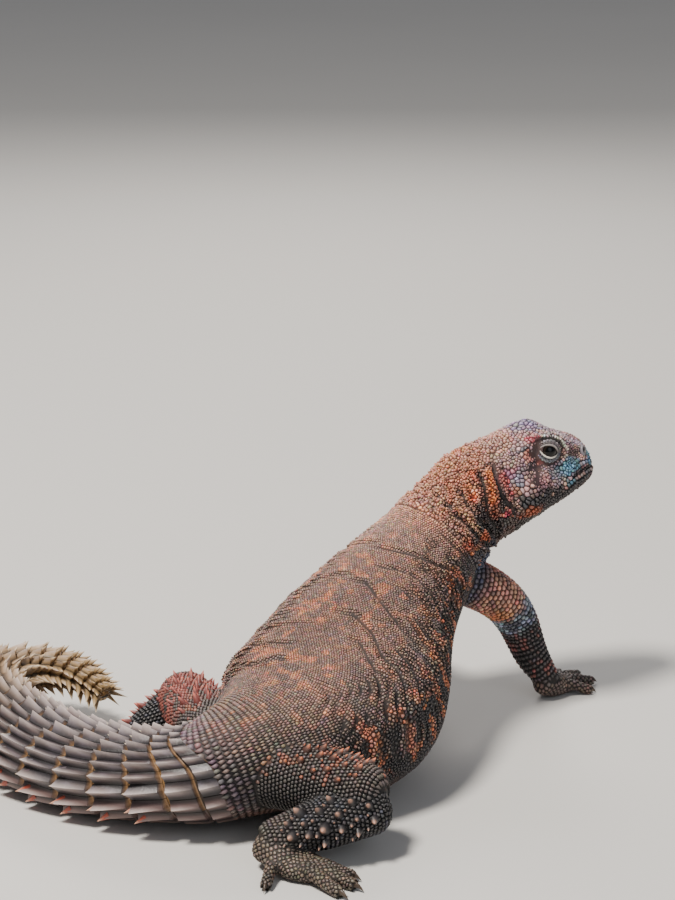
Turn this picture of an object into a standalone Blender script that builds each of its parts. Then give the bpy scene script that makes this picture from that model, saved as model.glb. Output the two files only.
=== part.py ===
"""A red spiny-tailed lizard (uromastyx), life size, as a still museum model.

The animal props itself on straight front legs with its head turned to its right, its belly
and hind feet on the floor and its ringed, spiny tail curled round to its left.
Metres, +Z up, the trunk heading along +X and the animal's left side at +Y.
The head, neck, trunk and tail are one surface swept along the spine and parted by thin cuts.
"""

import math

import bmesh
import bpy
import numpy as np
from mathutils import Matrix, Vector

MM = 0.001
GAP = 0.3 * MM          # left between nodes that touch
FLOOR_CUT = 60 * MM     # thickness of the block that flattens the soles
SHARP_ANGLE = math.radians(40)

# The row frame's origin is the middle of the model's footprint. The places below are
# measured from the point on the floor under the hips, which lies here.
HIPS_AT = (-61.9 * MM, -32.7 * MM)

# Lengths along the spine, from the tip of the snout backwards.
HEAD_END = 35.5 * MM
NECK_END = 54 * MM
TRUNK_END = 181 * MM
TAIL_NODES = ("tail_base", "tail_front", "tail_bend", "tail_rear", "tail_tip")
WHORLS_PER_NODE = (4, 4, 4, 4, 5)
# Where the whorls meet. The first ones lean: on top of the tail they lie further back.
WHORLS = MM * np.array(
    (182, 188, 196.8, 207.5, 219.5, 232, 243, 253, 262.5, 271, 279, 286, 292.5, 298, 303, 308, 312.8, 317.4)
    + (322, 326.2, 329.8, 332.6)
)
WHORL_COUNT = len(WHORLS) - 1
WHORL_LEAN = 6.0 * MM

# The spine's course: place name, x, y, z in millimetres, from snout to tail tip.
SPINE = (
    ("snout", 150.4, -12.0, 76.4),
    ("eyes", 136.8, -4.2, 73.0),
    ("ears", 122.2, 4.4, 70.0),
    ("neck", 110.6, 9.8, 63.2),
    ("chest", 94.6, 13.6, 51.6),
    ("midriff", 61.5, 8.6, 36.0),
    ("belly", 31.0, 0.0, 25.8),
    ("hips", 1.5, 1.0, 21.5),
    ("vent", -8.5, 8.0, 17.4),
    ("tail root", -14.0, 20.5, 13.8),
    ("tail near", -17.0, 40.0, 11.2),
    ("tail side", -17.5, 59.5, 10.9),
    ("tail turn", -14.5, 79.0, 12.4),
    ("tail outer", -8.5, 96.5, 14.2),
    ("tail bend", 2.5, 107.0, 16.2),
    ("tail back", 16.0, 104.0, 17.2),
    ("tail far", 22.0, 90.5, 16.8),
    ("tail end", 21.0, 76.0, 13.4),
)

# Cross-sections: millimetres from the snout, half width, height above the spine's line,
# depth below it, and squareness (2 is an ellipse, more is boxier).
SECTIONS = (
    (0.0, 0.0, 0.0, 0.0, 2.0),
    (0.25, 2.9, 4.2, 1.6, 2.2),
    (0.9, 4.4, 6.9, 2.4, 2.3),
    (2.3, 5.9, 9.4, 3.8, 2.4),
    (5.5, 7.9, 12.2, 5.2, 2.4),
    (10.0, 10.1, 14.5, 6.4, 2.4),
    (14.0, 11.5, 15.9, 7.6, 2.4),
    (19.0, 13.2, 16.9, 9.0, 2.4),
    (26.0, 15.4, 17.0, 10.8, 2.3),
    (32.0, 15.6, 17.0, 11.8, 2.2),
    (38.0, 14.8, 17.2, 12.6, 2.1),
    (44.0, 14.6, 16.6, 13.0, 2.1),
    (52.0, 15.8, 15.6, 14.6, 2.1),
    (64.0, 17.6, 15.8, 18.0, 2.2),
    (84.0, 22.0, 17.4, 22.0, 2.3),
    (110.0, 28.2, 18.4, 25.0, 2.4),
    (134.0, 31.6, 18.0, 27.4, 2.4),
    (152.0, 26.4, 16.4, 24.8, 2.3),
    (168.0, 18.0, 14.6, 19.0, 2.2),
    (182.0, 15.6, 12.8, 15.0, 2.2),
    (194.0, 15.0, 11.2, 12.0, 2.2),
    (216.0, 15.8, 10.2, 11.0, 2.3),
    (246.0, 14.2, 9.4, 10.0, 2.3),
    (276.0, 12.0, 8.2, 8.6, 2.2),
    (300.0, 8.2, 6.2, 6.2, 2.2),
    (318.0, 5.4, 4.4, 4.2, 2.1),
    (328.0, 3.6, 3.0, 2.8, 2.0),
    (334.0, 2.0, 1.8, 1.6, 2.0),
)
HEAD_ROLL = math.radians(8)      # the right side of the head is held a little higher
ROLL_ENDS = 60 * MM              # the roll dies out here, at the base of the neck

# Forms of the head and flanks, raised or sunk in the swept surface on both sides: millimetres
# from the snout, degrees round from the crown, length and width of the form, and its height.
SIDE_FORMS = (
    ("eye socket", 17.0, 76, 4.4, 3.4, -1.6),
    ("snout side", 6.6, 72, 2.6, 2.4, -0.8),
    ("nostril mound", 3.2, 58, 1.5, 1.7, 0.6),
    ("upper lip", 8.0, 79, 6.0, 1.5, 0.4),
    ("lower lip", 8.0, 102, 6.0, 1.6, 0.4),
    ("cheek", 26.5, 112, 6.0, 7.0, 1.9),
    ("temple", 22.0, 78, 4.0, 3.6, 0.7),
    ("nape knob", 40.0, 50, 3.2, 6.0, 1.5),
    ("flank sag", 118.0, 114, 24.0, 9.0, 2.6),
)
MIDDLE_FORMS = (
    ("crown dip", 11.0, 0, 4.0, 3.2, -0.7),
    ("crown table", 19.5, 0, 7.8, 6.5, 2.8),
    ("throat pouch", 33.0, 180, 6.0, 9.0, 1.6),
)
# The brow ridge, from the nostril over the eye to the temple: millimetres from the snout,
# degrees from the crown, and height. It falls gently to the crown and steeply to the eye.
BROW_COURSE = (
    (3.6, 52, 0.0),
    (5.6, 50, 0.6),
    (8.0, 47, 1.4),
    (11.0, 45, 2.9),
    (15.0, 44, 3.8),
    (19.0, 45, 3.5),
    (22.5, 47, 2.2),
    (27.0, 50, 0.0),
)
BROW_INNER, BROW_OUTER = 3.4, 1.8
# The closed mouth: millimetres behind the snout, and degrees from the crown.
MOUTH_COURSE = ((0.0, 90), (4.0, 88), (8.0, 89.5), (10.3, 93), (12.6, 98), (14.6, 105), (16.5, 110), (60.0, 110))
MOUTH_CORNER = 16.5 * MM
MOUTH_DEPTH = 0.8 * MM
MOUTH_HALF_WIDTH = 0.45 * MM
LIP_SPREAD = 0.75 * MM           # between the mouth line and the lines of points beside it
EYE_AT = (17.0 * MM, 8.3 * MM, 10.2 * MM)   # behind the snout, out from the middle, up
EYE_RADIUS = 3.6 * MM
LID_RADIUS = 4.8 * MM            # of the dome that the two lids make over the eyeball
EYE_OPENING = (3.2 * MM, 2.3 * MM)          # half length and half height between the lids
EYE_SLANT = math.radians(25)     # the opening dips towards the snout
EAR_AT = (33.4 * MM, 70)         # behind the snout, degrees round from the crown
NOSTRIL_AT = (3.2 * MM, 58)

# Skin folds round the neck: millimetres from the snout, half length and depth.
NECK_FOLDS = ((40.5, 1.4, 1.3), (46.5, 1.6, 1.5), (53.0, 1.7, 1.2))


def smooth_table(table, at):
    """Reads a table of rows (station, sizes...) at any stations, by monotone cubics, so
    that sizes pass through every row and never overshoot between two of them."""
    rows = np.asarray(table, float)
    x, y = rows[:, 0], rows[:, 1:]
    step = np.diff(x)[:, None]
    slope = np.diff(y, axis=0) / step
    inner = np.where(
        slope[1:] * slope[:-1] > 0,
        2 * slope[1:] * slope[:-1] / np.where(slope[1:] + slope[:-1] == 0, 1, slope[1:] + slope[:-1]),
        0.0,
    )
    tangent = np.concatenate([slope[:1], inner, slope[-1:]])
    at = np.clip(np.asarray(at, float), x[0], x[-1])
    k = np.clip(np.searchsorted(x, at, side="right") - 1, 0, len(x) - 2)
    t = ((at - x[k]) / step[k, 0])[..., None]
    h = step[k]
    return (
        y[k] * (1 + 2 * t) * (1 - t) ** 2
        + h * tangent[k] * t * (1 - t) ** 2
        + y[k + 1] * t * t * (3 - 2 * t)
        - h * tangent[k + 1] * t * t * (1 - t)
    )


def unit(v):
    return v / np.linalg.norm(v, axis=-1, keepdims=True)


class Course:
    """A smooth line through given places, read by the distance along it in metres."""

    def __init__(self, places, fine=60):
        places = np.asarray(places, float)
        chord = np.linalg.norm(np.diff(places, axis=0), axis=1)
        knots = np.concatenate([[0], np.cumsum(chord)])
        n = len(places)
        # A natural cubic spline: its second derivatives solve this small system.
        system, right = np.eye(n), np.zeros((n, 3))
        for i in range(1, n - 1):
            before, after = chord[i - 1], chord[i]
            system[i, i - 1 : i + 2] = before, 2 * (before + after), after
            right[i] = 6 * ((places[i + 1] - places[i]) / after - (places[i] - places[i - 1]) / before)
        bend = np.linalg.solve(system, right)
        at = np.linspace(0, knots[-1], fine * n)
        k = np.clip(np.searchsorted(knots, at, side="right") - 1, 0, n - 2)
        h = chord[k][:, None]
        a = (knots[k + 1] - at)[:, None] / h
        b = 1 - a
        self.points = (
            a * places[k]
            + b * places[k + 1]
            + ((a**3 - a) * bend[k] + (b**3 - b) * bend[k + 1]) * h * h / 6
        )
        self.along = np.concatenate([[0], np.cumsum(np.linalg.norm(np.diff(self.points, axis=0), axis=1))])
        self.length = self.along[-1]
        self.heading = unit(np.gradient(self.points, self.along, axis=0))

    def read(self, values, at):
        return np.stack([np.interp(at, self.along, column) for column in values.T], -1)

    def frame(self, at):
        """Place, heading, left and up at distances along the course."""
        heading = unit(self.read(self.heading, at))
        left = unit(np.cross(heading, (0, 0, 1)))
        return self.read(self.points, at), heading, left, np.cross(left, heading)


def placed(points):
    """Millimetres from the floor under the hips, made metres in the row frame."""
    return np.asarray(points, float) * MM + np.array([*HIPS_AT, 0])


SPINE_COURSE = Course(placed([place[1:] for place in SPINE]))


def whorl_lean(s, v):
    """How much further back a whorl lies at v round from the crown: most on top, nothing
    low on the side, and less from whorl to whorl up to the fifth."""
    over = np.clip(1 - np.abs((np.degrees(v) + 180) % 360 - 180) / 75, 0, 1)
    return WHORL_LEAN * np.clip((WHORLS[4] - s) / (WHORLS[4] - WHORLS[1]), 0, 1) * over * over * (3 - 2 * over)


def whorl_flare(s):
    """Each whorl widens towards its rear edge and steps in again where the next begins."""
    k = np.clip(np.searchsorted(WHORLS, s, side="right") - 1, 0, WHORL_COUNT - 1)
    share = np.clip((s - WHORLS[k]) / (WHORLS[k + 1] - WHORLS[k]), 0, 1)
    inside = (s >= WHORLS[0]) & (s <= WHORLS[-1])
    return np.where(inside, 1.1 * MM * share**1.5 - 0.2 * MM, 0.0)


def rounded(angle, squareness):
    """Sine and cosine of a superellipse, whose power makes the outline boxier."""
    power = 2 / squareness
    sine, cosine = np.sin(angle), np.cos(angle)
    return np.sign(sine) * np.abs(sine) ** power, np.sign(cosine) * np.abs(cosine) ** power


def mouth_line(s):
    """Degrees round from the crown at which the closed mouth shows, s behind the snout."""
    return smooth_table(MOUTH_COURSE, np.asarray(s) / MM)[..., 0]


def body_forms(s, v, reach):
    """Height of the forms, the brow ridge, the mouth line, the neck folds and the whorls."""
    raised = np.zeros(np.broadcast(s, v).shape)
    degrees = np.degrees(v) % 360
    side = np.minimum(degrees, 360 - degrees)
    for _, at, turn, length, width, height in SIDE_FORMS + MIDDLE_FORMS:
        along = (s / MM - at) / length
        across = np.radians(side - turn) * reach / MM / width
        raised = raised + height * MM * np.exp(-(along**2) - across**2)
    ridge, height = np.moveaxis(smooth_table(BROW_COURSE, s / MM), -1, 0)
    from_ridge = np.radians(side - ridge) * reach / MM
    from_ridge = from_ridge / np.where(from_ridge < 0, BROW_INNER, BROW_OUTER)
    raised = raised + height * MM * np.exp(-(from_ridge**2))
    from_lip = np.radians(side - mouth_line(s)) * reach
    fade = np.clip((MOUTH_CORNER - s) / (2 * MM), 0, 1)
    raised = raised - MOUTH_DEPTH * fade * np.exp(-((from_lip / MOUTH_HALF_WIDTH) ** 2))
    for at, half, depth in NECK_FOLDS:
        raised = raised - depth * MM * np.exp(-(((s / MM - at) / half) ** 2)) * (0.65 - 0.35 * np.cos(v))
    return raised + whorl_flare(s)


def body_surface(s, v, grow=0.0):
    """The swept body: s metres behind the snout, v radians round from the crown to the left."""
    s, v = np.broadcast_arrays(np.asarray(s, float), np.asarray(v, float))
    centre, heading, left, up = SPINE_COURSE.frame(s)
    width, above, below, squareness = np.moveaxis(smooth_table(SECTIONS, s / MM), -1, 0)
    roll = (HEAD_ROLL * np.clip((ROLL_ENDS - s) / (ROLL_ENDS - HEAD_END), 0, 1))[..., None]
    left, up = left * np.cos(roll) - up * np.sin(roll), up * np.cos(roll) + left * np.sin(roll)
    side, high = rounded(v, squareness)
    across = width * MM * side
    rise = np.where(high > 0, above, below) * MM * high
    reach = np.hypot(across, rise)
    swell = body_forms(s, v, reach) + grow
    lean = unit(np.stack([side + 1e-9, high], -1))
    across = across + swell * lean[..., 0]
    rise = rise + swell * lean[..., 1]
    return centre + left * across[..., None] + up * rise[..., None]


def head_place(back, out, up):
    """A place in the head: metres behind the snout, out to the left and up from its line."""
    centre, heading, left, upward = (a[0] for a in SPINE_COURSE.frame(np.array([back])))
    turned_left = left * math.cos(HEAD_ROLL) - upward * math.sin(HEAD_ROLL)
    turned_up = upward * math.cos(HEAD_ROLL) + left * math.sin(HEAD_ROLL)
    return Vector(centre + turned_left * out + turned_up * up)


def outward_at(s, v):
    """The surface's place there, its outward direction and the way back along the body."""
    step_s, step_v = 0.2 * MM, 0.01
    place = body_surface(s, v)
    along = body_surface(s + step_s, v) - body_surface(s - step_s, v)
    round_it = body_surface(s, v + step_v) - body_surface(s, v - step_v)
    return place, unit(np.cross(round_it, along)), unit(along)


def material(name, colour, roughness):
    made = bpy.data.materials.new(name)
    made.use_nodes = True
    shader = made.node_tree.nodes["Principled BSDF"]
    shader.inputs["Base Color"].default_value = (*colour, 1)
    shader.inputs["Roughness"].default_value = roughness
    shader.inputs["Metallic"].default_value = 0.0
    return made


def add_object(name, mesh, surface=None):
    made = bpy.data.objects.new(name, mesh)
    bpy.context.scene.collection.objects.link(made)
    if surface is not None:
        finish(made, surface)
    return made


def finish(made, surface):
    """Gives an object its one material, after Booleans that may have brought others, and
    smooth shading with sharp edges where it turns by more than SHARP_ANGLE."""
    made.data.materials.clear()
    made.data.materials.append(surface)
    made.data.shade_smooth()
    made.data.set_sharp_from_angle(angle=SHARP_ANGLE)


def loft(rings, pole_first=None, pole_last=None):
    """A closed mesh through rings of points (count, sides, 3). Its ends are fans about the
    given pole, or about the middle of the end ring, which then is a flat cut face."""
    count, sides = rings.shape[:2]
    first = rings[0].mean(0) if pole_first is None else pole_first
    last = rings[-1].mean(0) if pole_last is None else pole_last
    points = np.concatenate([rings.reshape(-1, 3), [first, last]])
    index = np.arange(count * sides).reshape(count, sides)
    turned = np.roll(index, -1, axis=1)
    quads = np.stack([index[:-1], index[1:], turned[1:], turned[:-1]], -1).reshape(-1, 4)
    start = np.stack([np.full(sides, count * sides), index[0], turned[0]], -1)
    end = np.stack([np.full(sides, count * sides + 1), turned[-1], index[-1]], -1)
    mesh = bpy.data.meshes.new("loft")
    mesh.from_pydata(points.tolist(), [], [*quads.tolist(), *start.tolist(), *end.tolist()])
    work = bmesh.new()
    work.from_mesh(mesh)
    bmesh.ops.recalc_face_normals(work, faces=work.faces)
    bmesh.ops.triangulate(work, faces=work.faces)
    work.to_mesh(mesh)
    work.free()
    return mesh


def body_length(stations, angles, grow=0.0):
    """The rings of a length of the body between two cuts."""
    v = np.asarray(angles, float)
    return body_surface(np.asarray(stations, float)[:, None], v if v.ndim == 2 else v[None, :], grow)


def join(host, pieces, operation="UNION"):
    """Joins closed pieces to host, or cuts them from it, with one Boolean on a collection,
    applies it, removes the pieces and keeps the largest closed surface."""
    group = bpy.data.collections.new("pieces")
    bpy.context.scene.collection.children.link(group)
    for piece in pieces:
        for owner in piece.users_collection:
            owner.objects.unlink(piece)
        group.objects.link(piece)
    change = host.modifiers.new("join", "BOOLEAN")
    change.operation = operation
    change.operand_type = "COLLECTION"
    change.collection = group
    bpy.context.view_layer.update()
    graph = bpy.context.evaluated_depsgraph_get()
    mesh = bpy.data.meshes.new_from_object(host.evaluated_get(graph))
    host.modifiers.remove(change)
    host.data = mesh
    for piece in pieces:
        bpy.data.objects.remove(piece)
    bpy.data.collections.remove(group)
    keep_largest(mesh)
    return host


def keep_largest(mesh):
    """Drops every closed surface of the mesh but the one with the largest volume."""
    work = bmesh.new()
    work.from_mesh(mesh)
    bmesh.ops.triangulate(work, faces=work.faces)
    left, islands = set(work.faces), []
    while left:
        island, edge_of = [], [left.pop()]
        while edge_of:
            face = edge_of.pop()
            island.append(face)
            near = {other for edge in face.edges for other in edge.link_faces} & left
            left -= near
            edge_of.extend(near)
        islands.append(island)

    def volume(island):
        total = 0.0
        for face in island:
            a, b, c = (corner.co for corner in face.verts)
            total += a.dot(b.cross(c))
        return abs(total)

    islands.sort(key=volume)
    scraps = [face for island in islands[:-1] for face in island]
    if scraps:
        bmesh.ops.delete(work, geom=scraps, context="FACES")
    work.to_mesh(mesh)
    work.free()


def floor_block():
    """What is below the floor, as a piece to cut away."""
    mesh = bpy.data.meshes.new("floor")
    work = bmesh.new()
    bmesh.ops.create_cube(work, size=1.0)
    bmesh.ops.scale(work, verts=work.verts, vec=(0.6, 0.6, FLOOR_CUT))
    bmesh.ops.translate(work, verts=work.verts, vec=(0, 0, -FLOOR_CUT / 2))
    work.to_mesh(mesh)
    work.free()
    return add_object("floor", mesh)


def turned_to(direction, broad):
    """A rotation whose Z runs along direction and whose X lies as near broad as it can."""
    z = Vector(direction).normalized()
    x = Vector(broad) - z * z.dot(Vector(broad))
    x.normalize()
    y = z.cross(x)
    return Matrix((x, y, z)).transposed().to_4x4()


def spine(place, direction, broad, length, width, thickness, sunk, sides=4):
    """A tapered spine, its root sunk below the surface it grows from."""
    mesh = bpy.data.meshes.new("spine")
    work = bmesh.new()
    bmesh.ops.create_cone(
        work, cap_ends=True, cap_tris=False, segments=sides, radius1=1.0, radius2=0.0, depth=1.0
    )
    bmesh.ops.translate(work, verts=work.verts, vec=(0, 0, 0.5))
    bmesh.ops.scale(work, verts=work.verts, vec=(width / 2, thickness / 2, length + sunk))
    start = Vector(place) - Vector(direction).normalized() * sunk
    work.transform(Matrix.Translation(start) @ turned_to(direction, broad))
    work.to_mesh(mesh)
    work.free()
    return add_object("spine", mesh)


# The head

def head_angles(stations):
    """Angles round the head, with three lines on each side that follow the mouth."""
    upper = np.array([0, 18, 34, 44, 54, 65, 76])
    lower = np.array([150, 165])
    lip = mouth_line(stations)
    half_width = smooth_table(SECTIONS, stations / MM)[:, 0]
    spread = np.minimum(np.degrees(LIP_SPREAD / (half_width * MM)), 10)
    lips = np.stack([lip - spread, lip, lip + spread], -1)
    rows = len(stations)
    left = np.concatenate(
        [
            np.broadcast_to(upper, (rows, len(upper))),
            lips,
            (lips[:, -1:] + 150) / 2,
            np.broadcast_to(lower, (rows, len(lower))),
        ],
        axis=1,
    )
    right = 360 - left[:, :0:-1]
    return np.radians(np.concatenate([left, np.full((rows, 1), 180), right], axis=1))


def head(skin):
    """The head, with the mouth's groove, brow ridges, lids, and pits for eyes, ears and nostrils."""
    stations = MM * np.array(
        [0.25, 0.9, 1.9, 3.2, 5.0, 7.0, 9.2, 11.4, 13.6, 15.6, 17.6, 20.5, 24, 28, 31.5]
    )
    stations = np.append(stations, HEAD_END)
    rings = body_length(stations, head_angles(stations))
    tip = SPINE_COURSE.frame(np.array([0.0]))[0][0]
    made = add_object("head", loft(rings, pole_first=tip), skin)
    join(made, [ball("lids", eye_centre(side), LID_RADIUS, 20, 12) for side in (1, -1)])
    cutters = [ball("socket", eye_centre(side), EYE_RADIUS + GAP, 14, 10) for side in (1, -1)]
    for side in (1, -1):
        cutters.append(eye_opening(side))
        cutters.append(pit(side, EAR_AT, (1.0 * MM, 3.2 * MM, 2.4 * MM)))
        cutters.append(pit(side, NOSTRIL_AT, (0.6 * MM, 1.1 * MM, 1.3 * MM)))
    join(made, cutters, "DIFFERENCE")
    finish(made, skin)
    return made


def eye_centre(side):
    back, out, up = EYE_AT
    return head_place(back, side * out, up)


def ball(name, centre, radius, around=16, rings=10):
    mesh = bpy.data.meshes.new(name)
    work = bmesh.new()
    bmesh.ops.create_uvsphere(work, u_segments=around, v_segments=rings, radius=radius)
    bmesh.ops.translate(work, verts=work.verts, vec=centre)
    work.to_mesh(mesh)
    work.free()
    return add_object(name, mesh)


def pit(side, place, sizes):
    """A small hollow sunk into the head's side: its length, height and depth."""
    s, turn = place
    where, out, back = outward_at(np.array(s), np.radians(turn if side > 0 else 360 - turn))
    mesh = bpy.data.meshes.new("pit")
    work = bmesh.new()
    bmesh.ops.create_uvsphere(work, u_segments=10, v_segments=6, radius=1.0)
    bmesh.ops.scale(work, verts=work.verts, vec=sizes)
    work.transform(Matrix.Translation(Vector(where)) @ turned_to(out, back))
    work.to_mesh(mesh)
    work.free()
    return add_object("pit", mesh)


def eye_opening(side):
    """The almond between the lids, as a piece to cut from their dome."""
    out = (head_place(EYE_AT[0], side * 1.0, 0) - head_place(EYE_AT[0], 0, 0)).normalized()
    ahead = (head_place(EYE_AT[0] - 1 * MM, 0, 0) - head_place(EYE_AT[0], 0, 0)).normalized()
    up = (head_place(EYE_AT[0], 0, 1.0) - head_place(EYE_AT[0], 0, 0)).normalized()
    length, height = EYE_OPENING
    mesh = bpy.data.meshes.new("opening")
    work = bmesh.new()
    bmesh.ops.create_uvsphere(work, u_segments=16, v_segments=8, radius=1.0)
    bmesh.ops.scale(work, verts=work.verts, vec=(length, height, 2.6 * MM))
    slanted = ahead * math.cos(EYE_SLANT) - up * math.sin(EYE_SLANT)
    work.transform(Matrix.Translation(eye_centre(side) + out * 4.0 * MM) @ turned_to(out, slanted))
    work.to_mesh(mesh)
    work.free()
    return add_object("opening", mesh)


def eyes(glassy):
    for side, name in ((1, "eye_left"), (-1, "eye_right")):
        made = ball(name, eye_centre(side), EYE_RADIUS, 16, 12)
        finish(made, glassy)


# Neck and trunk

def even_angles(count):
    return np.linspace(0, 2 * math.pi, count, endpoint=False)


NECK_STATIONS = np.concatenate(
    [[HEAD_END + GAP], MM * np.array([39, 40.5, 42, 44, 45, 46.5, 48, 50.5, 51.5, 53]), [NECK_END - GAP]]
)
TRUNK_STATIONS = np.concatenate(
    [[NECK_END], np.linspace(NECK_END + 5 * MM, TRUNK_END - 5 * MM, 17), [TRUNK_END]]
)


def neck(skin):
    add_object("neck", loft(body_length(NECK_STATIONS, even_angles(24))), skin)


def trunk(skin):
    made = add_object("torso", loft(body_length(TRUNK_STATIONS, even_angles(28))))
    join(made, [floor_block()], "DIFFERENCE")
    finish(made, skin)


def trunk_cutter():
    """The body from neck to tail base, grown by the gap that the limbs keep from it. Past
    the trunk it is grown more, so that it also clears the tail's spines."""
    tail_stations = np.linspace(TRUNK_END + GAP, WHORLS[4], 16)
    stations = np.concatenate([NECK_STATIONS, TRUNK_STATIONS, tail_stations])
    grow = np.where(stations > TRUNK_END, 3.2 * MM, GAP * 1.5)[:, None]
    return add_object("cutter", loft(body_length(stations, even_angles(28), grow)))


# Tail

def tail_cuts():
    """Where the tail is parted, at the joints between whorls."""
    edges = np.concatenate([[0], np.cumsum(WHORLS_PER_NODE)])
    cuts = WHORLS[edges].copy()
    cuts[0] = TRUNK_END + GAP
    return cuts, edges


def tail(skin):
    cuts, edges = tail_cuts()
    for number, name in enumerate(TAIL_NODES):
        last = number == len(TAIL_NODES) - 1
        first_whorl, end_whorl = edges[number], edges[number + 1]
        start = cuts[number]
        end = WHORLS[-1] if last else cuts[number + 1] - GAP
        stations = [start]
        for k in range(first_whorl, end_whorl):
            near, far = WHORLS[k], WHORLS[k + 1]
            length = far - near
            if near > start:
                stations.append(near + 0.02 * length)
            stations.extend([near + 0.5 * length, near + 0.93 * length])
        stations.append(end)
        rings = body_length(stations, even_angles(16))
        tip = None
        if last:
            tip = SPINE_COURSE.frame(np.array([SPINE_COURSE.length]))[0][0]
        made = add_object(name, loft(rings, pole_last=tip), skin)
        spines = []
        for k in range(max(first_whorl, 1), end_whorl):
            spines.extend(whorl_spines(k))
        join(made, spines)
        join(made, [floor_block()], "DIFFERENCE")
        finish(made, skin)


def whorl_spines(k):
    """One whorl's ring of spines at its rear edge, longest at the sides and near the tip."""
    share = k / (WHORL_COUNT - 1)
    length = WHORLS[k + 1] - WHORLS[k]
    s = WHORLS[k] + 0.80 * length
    turns = np.array([0, 27, 54, 80, 106])
    sizes = (0.62, 0.66, 0.8, 1.0, 0.9)
    made = []
    for turn, size in zip(turns, sizes):
        for side in (1, -1) if turn else (1,):
            long = (3.1 + 1.5 * share) * MM * size
            v = np.radians(side * turn)
            where, out, back = outward_at(np.array(s + whorl_lean(s, v)), v)
            direction = back * (1.0 - 0.15 * share) + out * (0.42 + 0.65 * share)
            broad = np.cross(out, back)
            wide = (2.7 - 1.0 * share) * MM * (0.8 + 0.3 * size)
            made.append(
                spine(where, direction, broad, long + 0.12 * length, wide, (1.7 - 0.4 * share) * MM, 1.0 * MM)
            )
    return made


# Limbs. Each limb is a course of places in millimetres with a half width and half height
# at each, and its nodes are lengths of that course.

ARMS = {
    "right": (
        ("shoulder", 100.0, 6.0, 48.5, 8.2, 8.2),
        ("upper arm", 116.5, 0.6, 39.0, 7.7, 7.4),
        ("elbow", 129.6, -0.9, 25.0, 6.8, 6.4),
        ("forearm", 132.8, -3.6, 15.0, 5.8, 5.5),
        ("wrist", 136.6, -7.6, 6.6, 4.5, 4.0),
    ),
    "left": (
        ("shoulder", 96.0, 22.0, 48.5, 8.2, 8.2),
        ("upper arm", 109.0, 35.0, 39.0, 7.7, 7.4),
        ("elbow", 118.6, 41.4, 26.0, 6.8, 6.4),
        ("forearm", 122.6, 46.6, 15.6, 5.8, 5.5),
        ("wrist", 126.4, 50.4, 6.6, 4.5, 4.0),
    ),
}
HANDS = {"right": (136.6, -7.4, 4), "left": (126.4, 50.4, 16)}

LEGS = {
    "right": {
        "thigh": ((-1.0, -5.0, 18.5, 10.5, 10.5), (4.0, -21.5, 18.4, 10.2, 9.8), (8.0, -37.0, 17.0, 8.6, 8.0)),
        "shin": ((7.6, -38.6, 13.0, 8.4, 7.4), (-3.6, -33.0, 11.0, 8.0, 7.0), (-16.0, -24.6, 8.0, 5.6, 5.2)),
        "foot": (-17.6, -25.6, -84),
    },
    "left": {
        "thigh": ((2.5, 11.0, 19.0, 10.5, 10.5), (11.5, 27.0, 21.0, 10.0, 9.6), (20.0, 42.0, 22.2, 8.4, 7.8)),
        "shin": ((19.4, 44.6, 18.4, 8.0, 7.0), (12.4, 48.0, 13.4, 7.6, 6.6), (4.6, 51.6, 8.0, 5.4, 5.0)),
        "foot": (5.6, 51.6, 38),
    },
}


def tube_rings(course, sizes, stations, sides, grow=0.0):
    """Elliptical rings along a course; sizes are half width and half height along it."""
    stations = np.asarray(stations, float)
    centre, _, left, up = course.frame(stations)
    half = smooth_table(sizes, stations) + grow
    v = even_angles(sides)
    return (
        centre[:, None]
        + left[:, None] * (half[:, 0, None] * np.sin(v))[..., None]
        + up[:, None] * (half[:, 1, None] * np.cos(v))[..., None]
    )


def limb_course(places):
    """A course through (x, y, z, half width, half height) in millimetres, and its sizes."""
    rows = np.asarray(places, float)
    course = Course(placed(rows[:, :3]))
    knots = np.concatenate([[0], np.cumsum(np.linalg.norm(np.diff(rows[:, :3], axis=0), axis=1))])
    sizes = np.column_stack([knots / knots[-1] * course.length, rows[:, 3:] * MM])
    return course, sizes


def rounded_limb(places, sides, steps, grow=0.0, round_start=True, round_end=True):
    """A limb with domed ends, from the course through its places."""
    course, sizes = limb_course(places)
    stations = np.linspace(0, course.length, steps)
    rings = tube_rings(course, sizes, stations, sides, grow)
    dome = np.radians([62, 34])
    first_pole, last_pole = None, None
    if round_start:
        centre, heading, _, _ = (a[0] for a in course.frame(stations[:1]))
        reach = sizes[0, 1:].mean() * 0.8 + grow
        caps = [centre + (rings[0] - centre) * math.cos(a) - heading * reach * math.sin(a) for a in dome]
        rings = np.concatenate([caps, rings])
        first_pole = centre - heading * reach
    if round_end:
        centre, heading, _, _ = (a[-1] for a in course.frame(stations[-1:]))
        reach = sizes[-1, 1:].mean() * 0.8 + grow
        caps = [centre + (rings[-1] - centre) * math.cos(a) + heading * reach * math.sin(a) for a in dome[::-1]]
        rings = np.concatenate([rings, caps])
        last_pole = centre + heading * reach
    return loft(rings, first_pole, last_pole)


def arm(side, skin):
    """Upper arm and forearm as two lengths of one limb, cut square at the elbow."""
    course, sizes = limb_course([place[1:] for place in ARMS[side]])
    elbow = sizes[2, 0]
    upper = tube_rings(course, sizes, np.linspace(0, elbow - GAP / 2, 6), 14)
    fore = tube_rings(course, sizes, np.linspace(elbow + GAP / 2, course.length - GAP / 2, 6), 14)
    first = add_object("upper_arm_" + side, loft(upper))
    join(first, [trunk_cutter()], "DIFFERENCE")
    add_object("forearm_" + side, loft(fore), skin)
    finish(first, skin)


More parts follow.
